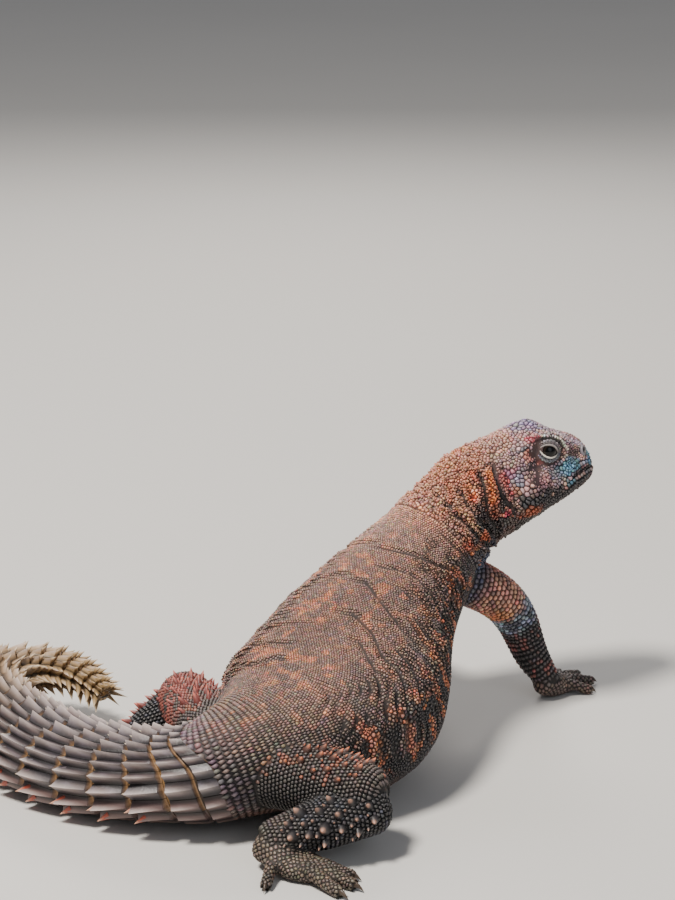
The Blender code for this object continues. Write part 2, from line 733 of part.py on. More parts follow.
def digit(root, heading, reach, radius, rise):
    """A toe or finger from root, arched, resting on its pad and ending in a claw."""
    share = np.array([0, 0.28, 0.55, 0.78, 0.84, 1.0])
    away = np.array([math.cos(heading), math.sin(heading)])
    flat = np.array(root[:2]) + np.outer(share * reach, away)
    height = np.array([rise, rise * 1.02, rise * 0.7, radius * 0.86, radius * 0.8, 0.42])
    size = radius * np.array([1.25, 1.1, 0.98, 0.95, 0.6, 0.14])
    places = np.column_stack([flat, height, size, size])
    course, sizes = limb_course(places)
    rings = tube_rings(course, sizes, sizes[:, 0], 6)
    return add_object("digit", loft(rings))


def paw(name, wrist, heading, palm_length, palm_width, digits, skin, cutters):
    """A hand or foot: a low palm and five clawed digits, flat where they rest."""
    x, y = wrist
    heading = math.radians(heading)
    ahead = np.array([math.cos(heading), math.sin(heading)])
    share = np.array([0.0, 0.35, 0.7, 1.0])
    flat = np.array([x, y]) + np.outer((share - 0.12) * palm_length, ahead)
    height = np.array([6.0, 4.2, 2.9, 2.2])
    wide = palm_width * np.array([0.78, 0.92, 1.0, 0.86])
    thick = np.array([4.6, 4.2, 3.4, 2.6])
    made = add_object(name, rounded_limb(np.column_stack([flat, height, wide, thick]), 12, 5), skin)
    parts = []
    for turn, start, across, reach, radius in digits:
        side_way = np.array([-ahead[1], ahead[0]])
        root = np.array([x, y]) + ahead * palm_length * start + side_way * palm_width * across
        parts.append(digit((root[0], root[1]), heading + math.radians(turn), reach, radius, 3.3))
    join(made, parts)
    join(made, [floor_block(), *cutters()], "DIFFERENCE")
    finish(made, skin)


# Turn from the paw's heading, root along and across the palm, reach and radius, for the
# digits of a right paw from its inner side outwards.
FINGERS = (
    (42, 0.42, 0.55, 10.5, 1.75),
    (21, 0.72, 0.52, 13.0, 1.75),
    (2, 0.80, 0.12, 14.0, 1.8),
    (-19, 0.74, -0.38, 13.0, 1.75),
    (-47, 0.45, -0.62, 10.5, 1.7),
)
TOES = (
    (30, 0.50, 0.50, 11.0, 1.75),
    (15, 0.80, 0.42, 14.0, 1.85),
    (1, 0.86, 0.08, 17.0, 1.9),
    (-13, 0.80, -0.34, 18.0, 1.9),
    (-66, 0.16, -0.45, 13.5, 1.7),
)


def mirrored(digits):
    return tuple((-turn, start, -across, reach, radius) for turn, start, across, reach, radius in digits)


def hand(side, skin):
    x, y, heading = HANDS[side]
    digits = FINGERS if side == "right" else mirrored(FINGERS)
    course, sizes = limb_course([place[1:] for place in ARMS[side]])

    def forearm_cutter():
        stations = np.linspace(sizes[2, 0], course.length + GAP / 2, 6)
        rings = tube_rings(course, sizes, stations, 14, GAP)
        return [add_object("cutter", loft(rings))]

    paw("hand_" + side, (x, y), heading, 11.5, 5.4, digits, skin, forearm_cutter)


def leg(side, skin):
    plan = LEGS[side]
    thigh = add_object("thigh_" + side, rounded_limb(plan["thigh"], 16, 7), skin)
    join(thigh, tubercles(plan["thigh"], THIGH_TUBERCLES, side))
    join(thigh, [trunk_cutter()], "DIFFERENCE")
    shin = add_object("shin_" + side, rounded_limb(plan["shin"], 14, 7, round_end=False), skin)
    join(shin, tubercles(plan["shin"], SHIN_TUBERCLES, side))
    thigh_cutter = add_object("cutter", rounded_limb(plan["thigh"], 16, 7, GAP))
    join(shin, [thigh_cutter, trunk_cutter(), floor_block()], "DIFFERENCE")
    for made in (thigh, shin):
        finish(made, skin)

    def shin_cutter():
        return [
            add_object("cutter", rounded_limb(plan["shin"], 14, 7, GAP, round_end=False)),
            add_object("cutter", rounded_limb(plan["thigh"], 16, 7, GAP)),
            *tubercles(plan["shin"], SHIN_TUBERCLES, side, 1.25),
        ]

    x, y, heading = plan["foot"]
    digits = TOES if side == "right" else mirrored(TOES)
    paw("foot_" + side, (x, y), heading, 14.5, 6.0, digits, skin, shin_cutter)


# Conical tubercles: share along the limb, degrees round from its upper side towards the
# outer side, and length and width in millimetres.
THIGH_TUBERCLES = tuple(
    (along, turn, 2.2, 2.6)
    for row, along in enumerate((0.36, 0.48, 0.60, 0.72, 0.84, 0.95))
    for turn in (np.array([-46, -14, 18, 50]) + 14 * (row % 2))
)
SHIN_TUBERCLES = tuple(
    (along, turn, 2.6, 3.2)
    for row, along in enumerate((0.10, 0.28, 0.46, 0.64, 0.80))
    for turn in (np.array([30, 66, 102]) + 16 * (row % 2))
)


def tubercles(places, rows, side, scale=1.0):
    """Cones on a limb, leaning towards its far end."""
    course, sizes = limb_course(places)
    made = []
    for share, turn, long, wide in rows:
        at = np.array([share * course.length])
        centre, heading, left, up = (a[0] for a in course.frame(at))
        half = smooth_table(sizes, at)[0]
        angle = math.radians(turn if side == "left" else -turn)
        out = left * math.sin(angle) * half[1] + up * math.cos(angle) * half[0]
        out = out / np.linalg.norm(out)
        where = centre + left * half[0] * math.sin(angle) + up * half[1] * math.cos(angle)
        direction = out + 0.35 * heading
        long, wide = long * scale * MM, wide * scale * MM
        made.append(spine(where, direction, heading, long, wide, wide, 0.9 * MM, 5))
    return made


def main():
    for left_over in list(bpy.data.objects):
        bpy.data.objects.remove(left_over)
    body_skin = material("body_skin", (0.27, 0.14, 0.095), 0.62)
    head_skin = material("head_skin", (0.42, 0.19, 0.15), 0.6)
    tail_skin = material("tail_skin", (0.19, 0.15, 0.15), 0.5)
    leg_skin = material("leg_skin", (0.14, 0.085, 0.07), 0.6)
    eye_finish = material("eye", (0.02, 0.015, 0.012), 0.08)
    head(head_skin)
    eyes(eye_finish)
    neck(head_skin)
    trunk(body_skin)
    tail(tail_skin)
    for side in ("right", "left"):
        arm(side, leg_skin)
        hand(side, leg_skin)
        leg(side, leg_skin)
    lizard = bpy.data.collections.new("uromastyx")
    bpy.context.scene.collection.children.link(lizard)
    for made in list(bpy.context.scene.collection.objects):
        bpy.context.scene.collection.objects.unlink(made)
        lizard.objects.link(made)


main()
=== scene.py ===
"""The looks of a red spiny-tailed lizard (uromastyx), life size, as a still museum model.

The animal is one continuous skin. Over it lie thousands of solid scales, each cut to the
room that its neighbours leave it, and on the tail rings of keeled plates that end in spines.
Metres, +Z up, the trunk heading along +X and the animal's left side at +Y.
"""

# %% [markdown]
# ## The frame
# The imported solids of the lizard are the fixed frame.

# %% Load the frame
import itertools
import math

import bpy
import numpy as np
from mathutils import Matrix, Vector
from mathutils.bvhtree import BVHTree
from mathutils.kdtree import KDTree


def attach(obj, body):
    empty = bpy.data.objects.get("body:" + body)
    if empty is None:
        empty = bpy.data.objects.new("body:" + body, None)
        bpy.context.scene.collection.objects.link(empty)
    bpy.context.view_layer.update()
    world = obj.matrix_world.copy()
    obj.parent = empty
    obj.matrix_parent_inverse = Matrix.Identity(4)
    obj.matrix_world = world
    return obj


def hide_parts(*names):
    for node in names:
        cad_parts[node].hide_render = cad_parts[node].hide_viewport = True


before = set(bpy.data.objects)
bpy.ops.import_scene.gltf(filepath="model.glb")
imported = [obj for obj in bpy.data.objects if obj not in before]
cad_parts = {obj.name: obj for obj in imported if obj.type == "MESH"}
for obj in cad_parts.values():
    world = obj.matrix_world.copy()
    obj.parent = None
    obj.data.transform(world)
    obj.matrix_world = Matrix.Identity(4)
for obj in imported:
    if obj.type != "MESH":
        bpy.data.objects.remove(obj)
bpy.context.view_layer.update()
MM = 0.001
chance = np.random.default_rng(7)

# %% [markdown]
# ## Floor, light and camera
# A plain pale floor and three soft lights show the form without colouring it. The camera
# stands where the photographer did: low, from the animal's right and behind, with a long lens.

# %% Floor and camera
HIPS_AT = (-61.9 * MM, -32.7 * MM)      # the point on the floor under the hips


def view_axes(turn, dip):
    """Right, up and forward of a camera turned from +Y towards +X, looking down by dip."""
    right = Vector((math.cos(turn), -math.sin(turn), 0))
    level = Vector((math.sin(turn), math.cos(turn), 0))
    ahead = level * math.cos(dip) - Vector((0, 0, math.sin(dip)))
    return right, right.cross(ahead), ahead


floor_mesh = bpy.data.meshes.new("floor")
floor_mesh.from_pydata([(-3, -3, 0), (3, -3, 0), (3, 3, 0), (-3, 3, 0)], [], [(0, 1, 2, 3)])
floor = bpy.data.objects.new("floor", floor_mesh)
bpy.context.scene.collection.objects.link(floor)

lens = bpy.data.cameras.new("camera")
camera = bpy.data.objects.new("camera", lens)
bpy.context.scene.collection.objects.link(camera)
cam_right, cam_up, cam_ahead = view_axes(math.radians(50), math.radians(15.4))
camera.matrix_world = Matrix((cam_right, cam_up, -cam_ahead)).transposed().to_4x4()
camera.matrix_world.translation = Vector((-0.5592, -0.4840, 0.2950))
lens.sensor_fit = "VERTICAL"
lens.sensor_height = 36
lens.lens = 102.08
bpy.context.scene.camera = camera
print("camera looks along", tuple(round(a, 3) for a in cam_ahead))


# %% Lights
def soft_light(name, place, aim, size, power, colour):
    """A round lamp, size metres across, at a place and turned towards the point it aims at."""
    made = bpy.data.lights.new(name, "AREA")
    made.shape = "DISK"
    made.size = size
    made.energy = power
    made.color = colour
    holder = bpy.data.objects.new(name, made)
    holder.location = place
    holder.rotation_euler = (Vector(aim) - Vector(place)).to_track_quat("-Z", "Y").to_euler()
    bpy.context.scene.collection.objects.link(holder)


soft_light("key", (-0.52, 0.10, 1.10), (0, 0, 0.03), 0.26, 24, (1.0, 0.95, 0.88))
soft_light("fill", (-0.25, -1.0, 0.55), (0, 0, 0.03), 0.9, 2.2, (0.86, 0.92, 1.0))
soft_light("rim", (0.7, 0.6, 0.7), (0, 0, 0.04), 0.5, 6, (1.0, 0.95, 0.9))
world = bpy.data.worlds.new("studio")
world.use_nodes = True
world.node_tree.nodes["Background"].inputs["Color"].default_value = (0.9, 0.93, 1.0, 1)
world.node_tree.nodes["Background"].inputs["Strength"].default_value = 0.25
bpy.context.scene.world = world
print("lights", len(bpy.data.lights))

# %% [markdown]
# ## The plan of the body
# Head, neck, trunk and tail could be sculpted, but then no place on them would have an address.
# Swept along the spine, each place has a distance behind the snout and an angle, which folds,
# markings and scales all use. Tables give the spine's course and the cross-sections, and
# monotone cubics read them without overshooting. The same tables made the solids.

# %% Tables along the spine
# Millimetres from the floor under the hips.
SPINE = (
    (150.4, -12.0, 76.4),
    (136.8, -4.2, 73.0),
    (122.2, 4.4, 70.0),
    (110.6, 9.8, 63.2),
    (94.6, 13.6, 51.6),
    (61.5, 8.6, 36.0),
    (31.0, 0.0, 25.8),
    (1.5, 1.0, 21.5),
    (-8.5, 8.0, 17.4),
    (-14.0, 20.5, 13.8),
    (-17.0, 40.0, 11.2),
    (-17.5, 59.5, 10.9),
    (-14.5, 79.0, 12.4),
    (-8.5, 96.5, 14.2),
    (2.5, 107.0, 16.2),
    (16.0, 104.0, 17.2),
    (22.0, 90.5, 16.8),
    (21.0, 76.0, 13.4),
)
# Millimetres from the snout, half width, height above the spine, depth below, squareness.
SECTIONS = (
    (0.0, 0.0, 0.0, 0.0, 2.0),
    (0.25, 2.9, 4.2, 1.6, 2.2),
    (0.9, 4.4, 6.9, 2.4, 2.3),
    (2.3, 5.9, 9.4, 3.8, 2.4),
    (5.5, 7.9, 12.2, 5.2, 2.4),
    (10.0, 10.1, 14.5, 6.4, 2.4),
    (14.0, 11.5, 15.9, 7.6, 2.4),
    (19.0, 13.2, 16.9, 9.0, 2.4),
    (26.0, 15.4, 17.0, 10.8, 2.3),
    (32.0, 15.6, 17.0, 11.8, 2.2),
    (38.0, 14.8, 17.2, 12.6, 2.1),
    (44.0, 14.6, 16.6, 13.0, 2.1),
    (52.0, 15.8, 15.6, 14.6, 2.1),
    (64.0, 17.6, 15.8, 18.0, 2.2),
    (84.0, 22.0, 17.4, 22.0, 2.3),
    (110.0, 28.2, 18.4, 25.0, 2.4),
    (134.0, 31.6, 18.0, 27.4, 2.4),
    (152.0, 26.4, 16.4, 24.8, 2.3),
    (168.0, 18.0, 14.6, 19.0, 2.2),
    (182.0, 15.6, 12.8, 15.0, 2.2),
    (194.0, 15.0, 11.2, 12.0, 2.2),
    (216.0, 15.8, 10.2, 11.0, 2.3),
    (246.0, 14.2, 9.4, 10.0, 2.3),
    (276.0, 12.0, 8.2, 8.6, 2.2),
    (300.0, 8.2, 6.2, 6.2, 2.2),
    (318.0, 5.4, 4.4, 4.2, 2.1),
    (328.0, 3.6, 3.0, 2.8, 2.0),
    (334.0, 2.0, 1.8, 1.6, 2.0),
)
# The head's roll, and the stations between which the neck takes it back.
HEAD_ROLL, HEAD_END, ROLL_ENDS = math.radians(8), 35.5, 60.0
print("rows of the tables", len(SPINE), len(SECTIONS))


# %% Read tables and courses
def smooth_table(table, at):
    """Reads rows (station, sizes...) at any stations by monotone cubics: between two rows
    each size follows the cubic whose slopes are the harmonic means of its neighbours'."""
    rows = np.asarray(table, float)
    x, y = rows[:, 0], rows[:, 1:]
    step = np.diff(x)[:, None]
    slope = np.diff(y, axis=0) / step
    total = slope[1:] + slope[:-1]
    product = slope[1:] * slope[:-1]
    inner = np.where(product > 0, 2 * product / np.where(total == 0, 1, total), 0.0)
    tangent = np.concatenate([slope[:1], inner, slope[-1:]])
    at = np.clip(np.asarray(at, float), x[0], x[-1])
    k = np.clip(np.searchsorted(x, at, side="right") - 1, 0, len(x) - 2)
    t = ((at - x[k]) / step[k, 0])[..., None]
    near = y[k] * (1 + 2 * t) * (1 - t) ** 2 + step[k] * tangent[k] * t * (1 - t) ** 2
    far = y[k + 1] * t * t * (3 - 2 * t) - step[k] * tangent[k + 1] * t * t * (1 - t)
    return near + far


def rise(x, low, high):
    """0 below low, 1 above high, and a smooth step between."""
    t = np.clip((x - low) / (high - low), 0, 1)
    return t * t * (3 - 2 * t)


def band(x, start, full, fading, end):
    """0 below start, 1 from full to fading and 0 above end, with smooth steps between."""
    return rise(x, start, full) * (1 - rise(x, fading, end))


def hill(x, middle, half):
    """exp(-d squared), where d is the distance from the middle over half."""
    return np.exp(-(((x - middle) / half) ** 2))


def unit(v):
    """Vectors over their own lengths."""
    return v / np.maximum(np.linalg.norm(v, axis=-1, keepdims=True), 1e-12)


class Course:
    """A natural cubic spline through places, read by the distance along it: a straight line
    plus (a cubed - a) and (b cubed - b) times the bends at its ends, over six."""

    def __init__(self, places, fine=60):
        places = np.asarray(places, float)
        chord = np.linalg.norm(np.diff(places, axis=0), axis=1)
        knots = np.concatenate([[0], np.cumsum(chord)])
        n = len(places)
        system = np.eye(n)
        inner = np.arange(1, n - 1)
        system[inner, inner - 1] = chord[:-1]
        system[inner, inner] = 2 * (chord[:-1] + chord[1:])
        system[inner, inner + 1] = chord[1:]
        right = np.zeros((n, 3))
        right[1:-1] = 6 * np.diff(np.diff(places, axis=0) / chord[:, None], axis=0)
        bend = np.linalg.solve(system, right)
        at = np.linspace(0, knots[-1], fine * n)
        k = np.clip(np.searchsorted(knots, at, side="right") - 1, 0, n - 2)
        h = chord[k][:, None]
        a = (knots[k + 1] - at)[:, None] / h
        b = 1 - a
        curve = ((a**3 - a) * bend[k] + (b**3 - b) * bend[k + 1]) * h * h / 6
        self.points = a * places[k] + b * places[k + 1] + curve
        steps = np.linalg.norm(np.diff(self.points, axis=0), axis=1)
        self.along = np.concatenate([[0], np.cumsum(steps)])
        self.length = self.along[-1]
        self.heading = unit(np.gradient(self.points, self.along, axis=0))

    def read(self, values, at):
        """Values kept for the course's points, at distances along it."""
        return np.stack([np.interp(at, self.along, column) for column in values.T], -1)

    def frame(self, at):
        """Place, heading, left and up at distances along the course."""
        heading = unit(self.read(self.heading, at))
        left = unit(np.cross(heading, (0, 0, 1)))
        return self.read(self.points, at), heading, left, np.cross(left, heading)


def placed(points):
    """Millimetres from the floor under the hips, made metres in the row frame."""
    return np.asarray(points, float) * MM + np.array([*HIPS_AT, 0])


spine_course = Course(placed(SPINE))
print("snout to tail tip", round(spine_course.length / MM, 1), "mm")

# %% [markdown]
# ## Forms and folds
# Brow ridges, cheeks, the mouth and the loose folds of the neck and flank are raised from or
# sunk in the swept surface by formulas, which stay sharp where a picture of heights blurs. A
# form is a smooth hill with a length and a width. A fold is a valley along a line, with a low
# ridge on either side of it, as loose skin has where it creases.

# %% Tables of forms and folds
# Name, millimetres from the snout, degrees from the crown, length, width and height.
SIDE_FORMS = (
    ("eye socket", 17.0, 76, 4.4, 3.4, -1.6),
    ("snout side", 6.6, 72, 2.6, 2.4, -0.8),
    ("nostril mound", 3.2, 58, 1.5, 1.7, 0.6),
    ("upper lip", 8.0, 79, 6.0, 1.5, 0.4),
    ("lower lip", 8.0, 102, 6.0, 1.6, 0.4),
    ("cheek", 26.5, 112, 6.0, 7.0, 1.9),
    ("temple", 22.0, 78, 4.0, 3.6, 0.7),
    ("nape knob", 40.0, 50, 3.2, 6.0, 1.5),
    ("flank sag", 118.0, 114, 24.0, 9.0, 2.6),
)
MIDDLE_FORMS = (
    ("crown dip", 11.0, 0, 4.0, 3.2, -0.7),
    ("crown table", 19.5, 0, 7.8, 6.5, 2.8),
    ("throat pouch", 33.0, 180, 6.0, 9.0, 1.6),
)
# The brow ridge: millimetres from the snout, degrees from the crown, and height. It falls
# gently to the crown and steeply to the eye.
BROW_COURSE = (
    (3.6, 52, 0.0),
    (5.6, 50, 0.6),
    (8.0, 47, 1.4),
    (11.0, 45, 2.9),
    (15.0, 44, 3.8),
    (19.0, 45, 3.5),
    (22.5, 47, 2.2),
    (27.0, 50, 0.0),
)
BROW_INNER, BROW_OUTER = 3.4, 1.8
# The closed mouth: millimetres from the snout and degrees from the crown.
MOUTH_COURSE = (
    (0.0, 90), (4.0, 88), (8.0, 89.5), (10.3, 93), (12.6, 98), (14.6, 105), (16.5, 110), (60.0, 110),
)
MOUTH_CORNER, MOUTH_DEPTH, MOUTH_WIDTH = 16.5, 0.8, 0.45
WRINKLE_HEIGHT, KNOB_HEIGHT = 0.60, 0.65
# Neck folds, the same on both sides: half width and depth in millimetres, then degrees from
# the crown and millimetres from the snout along the fold.
NECK_FOLDS = (
    (0.9, 2.2, ((50, 34.0), (62, 34.8), (72, 35.3), (82, 36.0), (92, 35.4), (104, 34.2))),
    (0.9, 1.7, ((55, 39.0), (63, 39.4), (77, 41.5), (88, 43.2), (118, 43.5))),
    (0.9, 1.4, ((46, 45.4), (60, 46.8), (78, 47.2), (96, 46.6), (130, 44.6))),
    (1.1, 1.6, ((42, 51.6), (52, 52.2), (80, 51.6), (100, 51.0), (120, 48.4), (150, 47.0))),
    (0.8, 0.6, ((44, 57.0), (60, 57.6), (95, 56.0), (130, 54.0))),
    (0.8, 0.5, ((48, 61.5), (66, 61.8), (95, 60.0))),
)
# Flank folds in the same way, but with degrees to the left or, below 0, to the right.
FLANK_FOLDS = (
    (1.0, 0.85, ((-77, 70.1), (-54, 76.4), (-42, 77.7), (-28, 78.4), (-14, 79.7), (4, 80.2))),
    (0.9, 0.65, ((-66, 95.5), (-50, 90.9), (-35, 88.4), (-22, 88.4), (-8, 89.7))),
    (1.0, 0.75, ((-78, 120.5), (-68, 119.7), (-52, 118.7), (-34, 113.5), (-17, 106.2), (-3, 98.7))),
    (1.1, 1.0, ((-70, 137.0), (-62, 135.0), (-50, 132.2), (-31, 128.7), (-19, 120.2), (-5, 114.0))),
    (1.0, 0.75, ((-66, 144.5), (-58, 143.0), (-44, 140.0), (-26, 132.7), (-15, 126.0))),
    (0.8, 0.50, ((-80, 106.5), (-60, 106.0), (-44, 102.5), (-28, 97.0))),
    (0.8, 0.45, ((-74, 86.0), (-56, 84.0), (-40, 83.0))),
    (0.8, 0.45, ((-62, 129.0), (-46, 125.5), (-32, 121.0), (-22, 114.5))),
    (0.8, 0.40, ((-70, 113.0), (-52, 110.5), (-38, 106.5))),
    (1.2, 1.0, ((14, 143.7), (29, 148.5), (50, 146.5), (70, 143.0))),
    (1.1, 0.8, ((18, 133.0), (35, 133.7), (60, 131.0))),
    (1.0, 0.6, ((20, 121.0), (40, 122.0), (66, 119.0))),
    (1.0, 0.6, ((14, 96.0), (40, 99.0), (66, 98.0))),
    (1.1, 0.7, ((10, 78.0), (40, 79.0), (74, 76.0))),
    (0.9, 0.5, ((-60, 154.5), (-36, 152.0), (-16, 150.0))),
)


# %% Forms and folds as functions
def rounded(angle, squareness):
    """Sine and cosine of a superellipse, whose power makes the outline boxier."""
    power = 2 / squareness
    sine, cosine = np.sin(angle), np.cos(angle)
    return np.sign(sine) * np.abs(sine) ** power, np.sign(cosine) * np.abs(cosine) ** power


def from_crown(v):
    """Radians round from the crown, made degrees to the left or, below 0, to the right."""
    return (np.degrees(v) + 180) % 360 - 180


def mouth_line(s):
    """Degrees from the crown at which the closed mouth shows, s millimetres behind the snout."""
    return smooth_table(MOUTH_COURSE, s)[..., 0]


def brow_line(s):
    """Degrees from the crown of the brow ridge, and its height, s mm behind the snout."""
    return np.moveaxis(smooth_table(BROW_COURSE, s), -1, 0)


def fold_height(s, turn, folds):
    """A valley along each fold's line, minus exp(-x squared), and a ridge on either side."""
    total = np.zeros(np.broadcast(s, turn).shape)
    for half, depth, line in folds:
        turns, stations = np.array(line, float).T
        from_line = (s - np.interp(turn, turns, stations)) / half
        past = (turn - np.clip(turn, turns[0], turns[-1])) / 8
        shape = 0.45 * np.exp(-(((np.abs(from_line) - 1.9) / 0.9) ** 2)) - np.exp(-(from_line**2))
        total = total + depth * shape * np.exp(-(past**2))
    return total


def wrinkles(s, turn):
    """Fine wrinkles of loose skin on the flanks, from -1 to 1: a cosine along the body whose
    phase bends and leans backwards, deep in some patches and shallow in others."""
    side = np.abs(turn)
    lean = np.where(turn < 0, 0.24, 0.05) * np.minimum(side, 85)
    bend = 0.27 * np.sin(turn / 15 + s / 9.3) + 0.2 * np.sin(turn / 6.1 - s / 5.7 + 2)
    wave = np.cos(2 * math.pi * ((s - lean) / 3.2 + bend))
    patches = np.sin(s / 6.3 + turn / 11 + 1.3) * np.sin(s / 4.1 - turn / 8.3)
    deep = 0.3 + 0.7 * rise(patches, -0.6, 0.3)
    where = band(side, 20, 46, 96, 112) * rise(s, 60, 70) * (1 - rise(s, 150, 160))
    return where * deep * wave


def knobs(s, turn):
    """Low knobs of the nape, from -1 to 1: two crossing sines."""
    where = band(s, 29, 36, 54, 62) * (1 - rise(np.abs(turn), 55, 80))
    bumps = np.sin(s * 1.75 + 0.8 * np.sin(turn / 9)) * np.sin(turn / 3.1 + 0.9 * np.sin(s / 2.7))
    return where * bumps


def forms(s, turn, reach):
    """Height of all forms in millimetres, at s millimetres and turn degrees, where the
    surface is reach millimetres from the spine: a sum of hills, folds and waves."""
    side = np.abs(turn)
    total = np.zeros(np.broadcast(s, turn).shape)
    for _, at, where, length, width, height in SIDE_FORMS + MIDDLE_FORMS:
        across = np.radians(side - where) * reach / width
        total = total + height * np.exp(-(((s - at) / length) ** 2) - across**2)
    ridge, height = brow_line(s)
    from_ridge = np.radians(side - ridge) * reach
    from_ridge = from_ridge / np.where(from_ridge < 0, BROW_INNER, BROW_OUTER)
    total = total + height * np.exp(-(from_ridge**2))
    from_lip = np.radians(side - mouth_line(s)) * reach
    groove = np.clip((MOUTH_CORNER - s) / 2, 0, 1) * np.exp(-((from_lip / MOUTH_WIDTH) ** 2))
    total = total - MOUTH_DEPTH * groove
    total = total + fold_height(s, side, NECK_FOLDS) + fold_height(s, turn, FLANK_FOLDS)
    return total + WRINKLE_HEIGHT * wrinkles(s, turn) + KNOB_HEIGHT * knobs(s, turn)


# %% Where the eyes sit
def head_place(back, out, up):
    """A place in the head: millimetres behind the snout, to the left and up from the spine."""
    centre, _, left, upward = (a[0] for a in spine_course.frame(np.array([back * MM])))
    turned_left = left * math.cos(HEAD_ROLL) - upward * math.sin(HEAD_ROLL)
    turned_up = upward * math.cos(HEAD_ROLL) + left * math.sin(HEAD_ROLL)
    return centre + (turned_left * out + turned_up * up) * MM


# The line of the brow, millimetres ahead of and above the eye's centre, seen along the gaze.
BROW_ROW = ((-8.0, 1.6), (-6.0, 2.7), (-3.0, 4.1), (0.0, 4.7), (3.0, 4.3), (6.0, 2.3), (8.0, 0.6))
# Millimetres of the eye's centre behind the snout, out and up from the spine, and its radius.
EYE_AT, EYE_RADIUS = (17.0, 8.3, 10.2), 3.6
EYE_SLANT = math.radians(25)
# The hollow round each eye: its ball's radius and reach, its depth under it, and its end.
HOLLOW_BALL, HOLLOW_REACH, HOLLOW_UNDER, HOLLOW_END = 4.45, 4.0, 0.35, 12


def eye_axes(side):
    """Centre of an eye, the way it looks, and the long and short axes of its opening."""
    back, out, up = EYE_AT
    centre = head_place(back, side * out, up)
    gaze = unit(head_place(back, side * (out + 1), up) - centre)
    ahead = unit(head_place(back - 1, side * out, up) - centre)
    ahead = unit(ahead - gaze * (ahead @ gaze))
    upward = np.cross(ahead, gaze) * side
    long = ahead * math.cos(EYE_SLANT) - upward * math.sin(EYE_SLANT)
    short = upward * math.cos(EYE_SLANT) + ahead * math.sin(EYE_SLANT)
    return centre, gaze, long, short


def from_eye(places, side):
    """Millimetres ahead of, above and out of an eye's centre, along its own axes."""
    centre, gaze, long, short = eye_axes(side)
    away = (places - centre) / MM
    return away @ long, away @ short, away @ gaze


def brow_height(ahead):
    """How far above the eye's centre the line of the brow runs, at places ahead of it."""
    return np.interp(ahead, *np.array(BROW_ROW).T)


def carved(places, s):
    """Sinks the surface round each eye, s metres behind the snout, so that nothing stands
    before the lids. Seen along the gaze, a place may rise no higher than a ball about as
    large as the lids, and beyond it than a cone that opens outwards, most behind the eye.
    The lower height is half of x + y less the root of (x - y) squared and a little."""
    near = (s > 8 * MM) & (s < 28 * MM)
    if not near.any():
        return places
    part = places[near]
    for side in (1, -1):
        ahead, above, along = from_eye(part, side)
        out = np.hypot(ahead, above)
        slope = 1.2 - 0.5 * rise(-ahead, 0.0, 3.0)
        ball = np.sqrt(HOLLOW_BALL**2 - np.minimum(out, HOLLOW_REACH) ** 2)
        limit = ball - HOLLOW_UNDER + slope * np.maximum(out - HOLLOW_REACH, 0)
        lower = (along + limit - np.sqrt((along - limit) ** 2 + 0.16)) / 2
        sink = np.where((along > 0) & (out < HOLLOW_END), lower - along, 0)
        part = part + sink[:, None] * eye_axes(side)[1] * MM
    places[near] = part
    return places


# %% The surface of the body
def body_surface(s, v, grow=0.0):
    """The swept body. s is metres behind the snout, v radians round from the crown to the
    left, and grow lifts or sinks the surface. Each section is a superellipse, round the
    spine's place, plus the height of the forms along its outward direction."""
    s, v = np.broadcast_arrays(np.asarray(s, float), np.asarray(v, float))
    centre, _, left, up = spine_course.frame(s)
    width, above, below, squareness = np.moveaxis(smooth_table(SECTIONS, s / MM), -1, 0)
    roll = (HEAD_ROLL * np.clip((ROLL_ENDS - s / MM) / (ROLL_ENDS - HEAD_END), 0, 1))[..., None]
    left, up = left * np.cos(roll) - up * np.sin(roll), up * np.cos(roll) + left * np.sin(roll)
    side, high = rounded(v, squareness)
    across = width * side
    high_up = np.where(high > 0, above, below) * high
    turn = from_crown(v)
    swell = forms(s / MM, turn, np.hypot(across, high_up)) * MM + grow
    lean = unit(np.stack([side + 1e-9, high], -1))
    across = across * MM + swell * lean[..., 0]
    high_up = high_up * MM + swell * lean[..., 1]
    return carved(centre + left * across[..., None] + up * high_up[..., None], s)


print("forms", len(SIDE_FORMS + MIDDLE_FORMS), "folds", len(NECK_FOLDS + FLANK_FOLDS))

# %% [markdown]
# ## The limbs
# Each limb is a tube with an elliptical section and domed ends, carried along its own course:
# arms in one length, legs as thigh and shin, hands and feet as a palm and five digits. A Skin
# modifier would be quicker, but scales need to know how far along and round they stand.

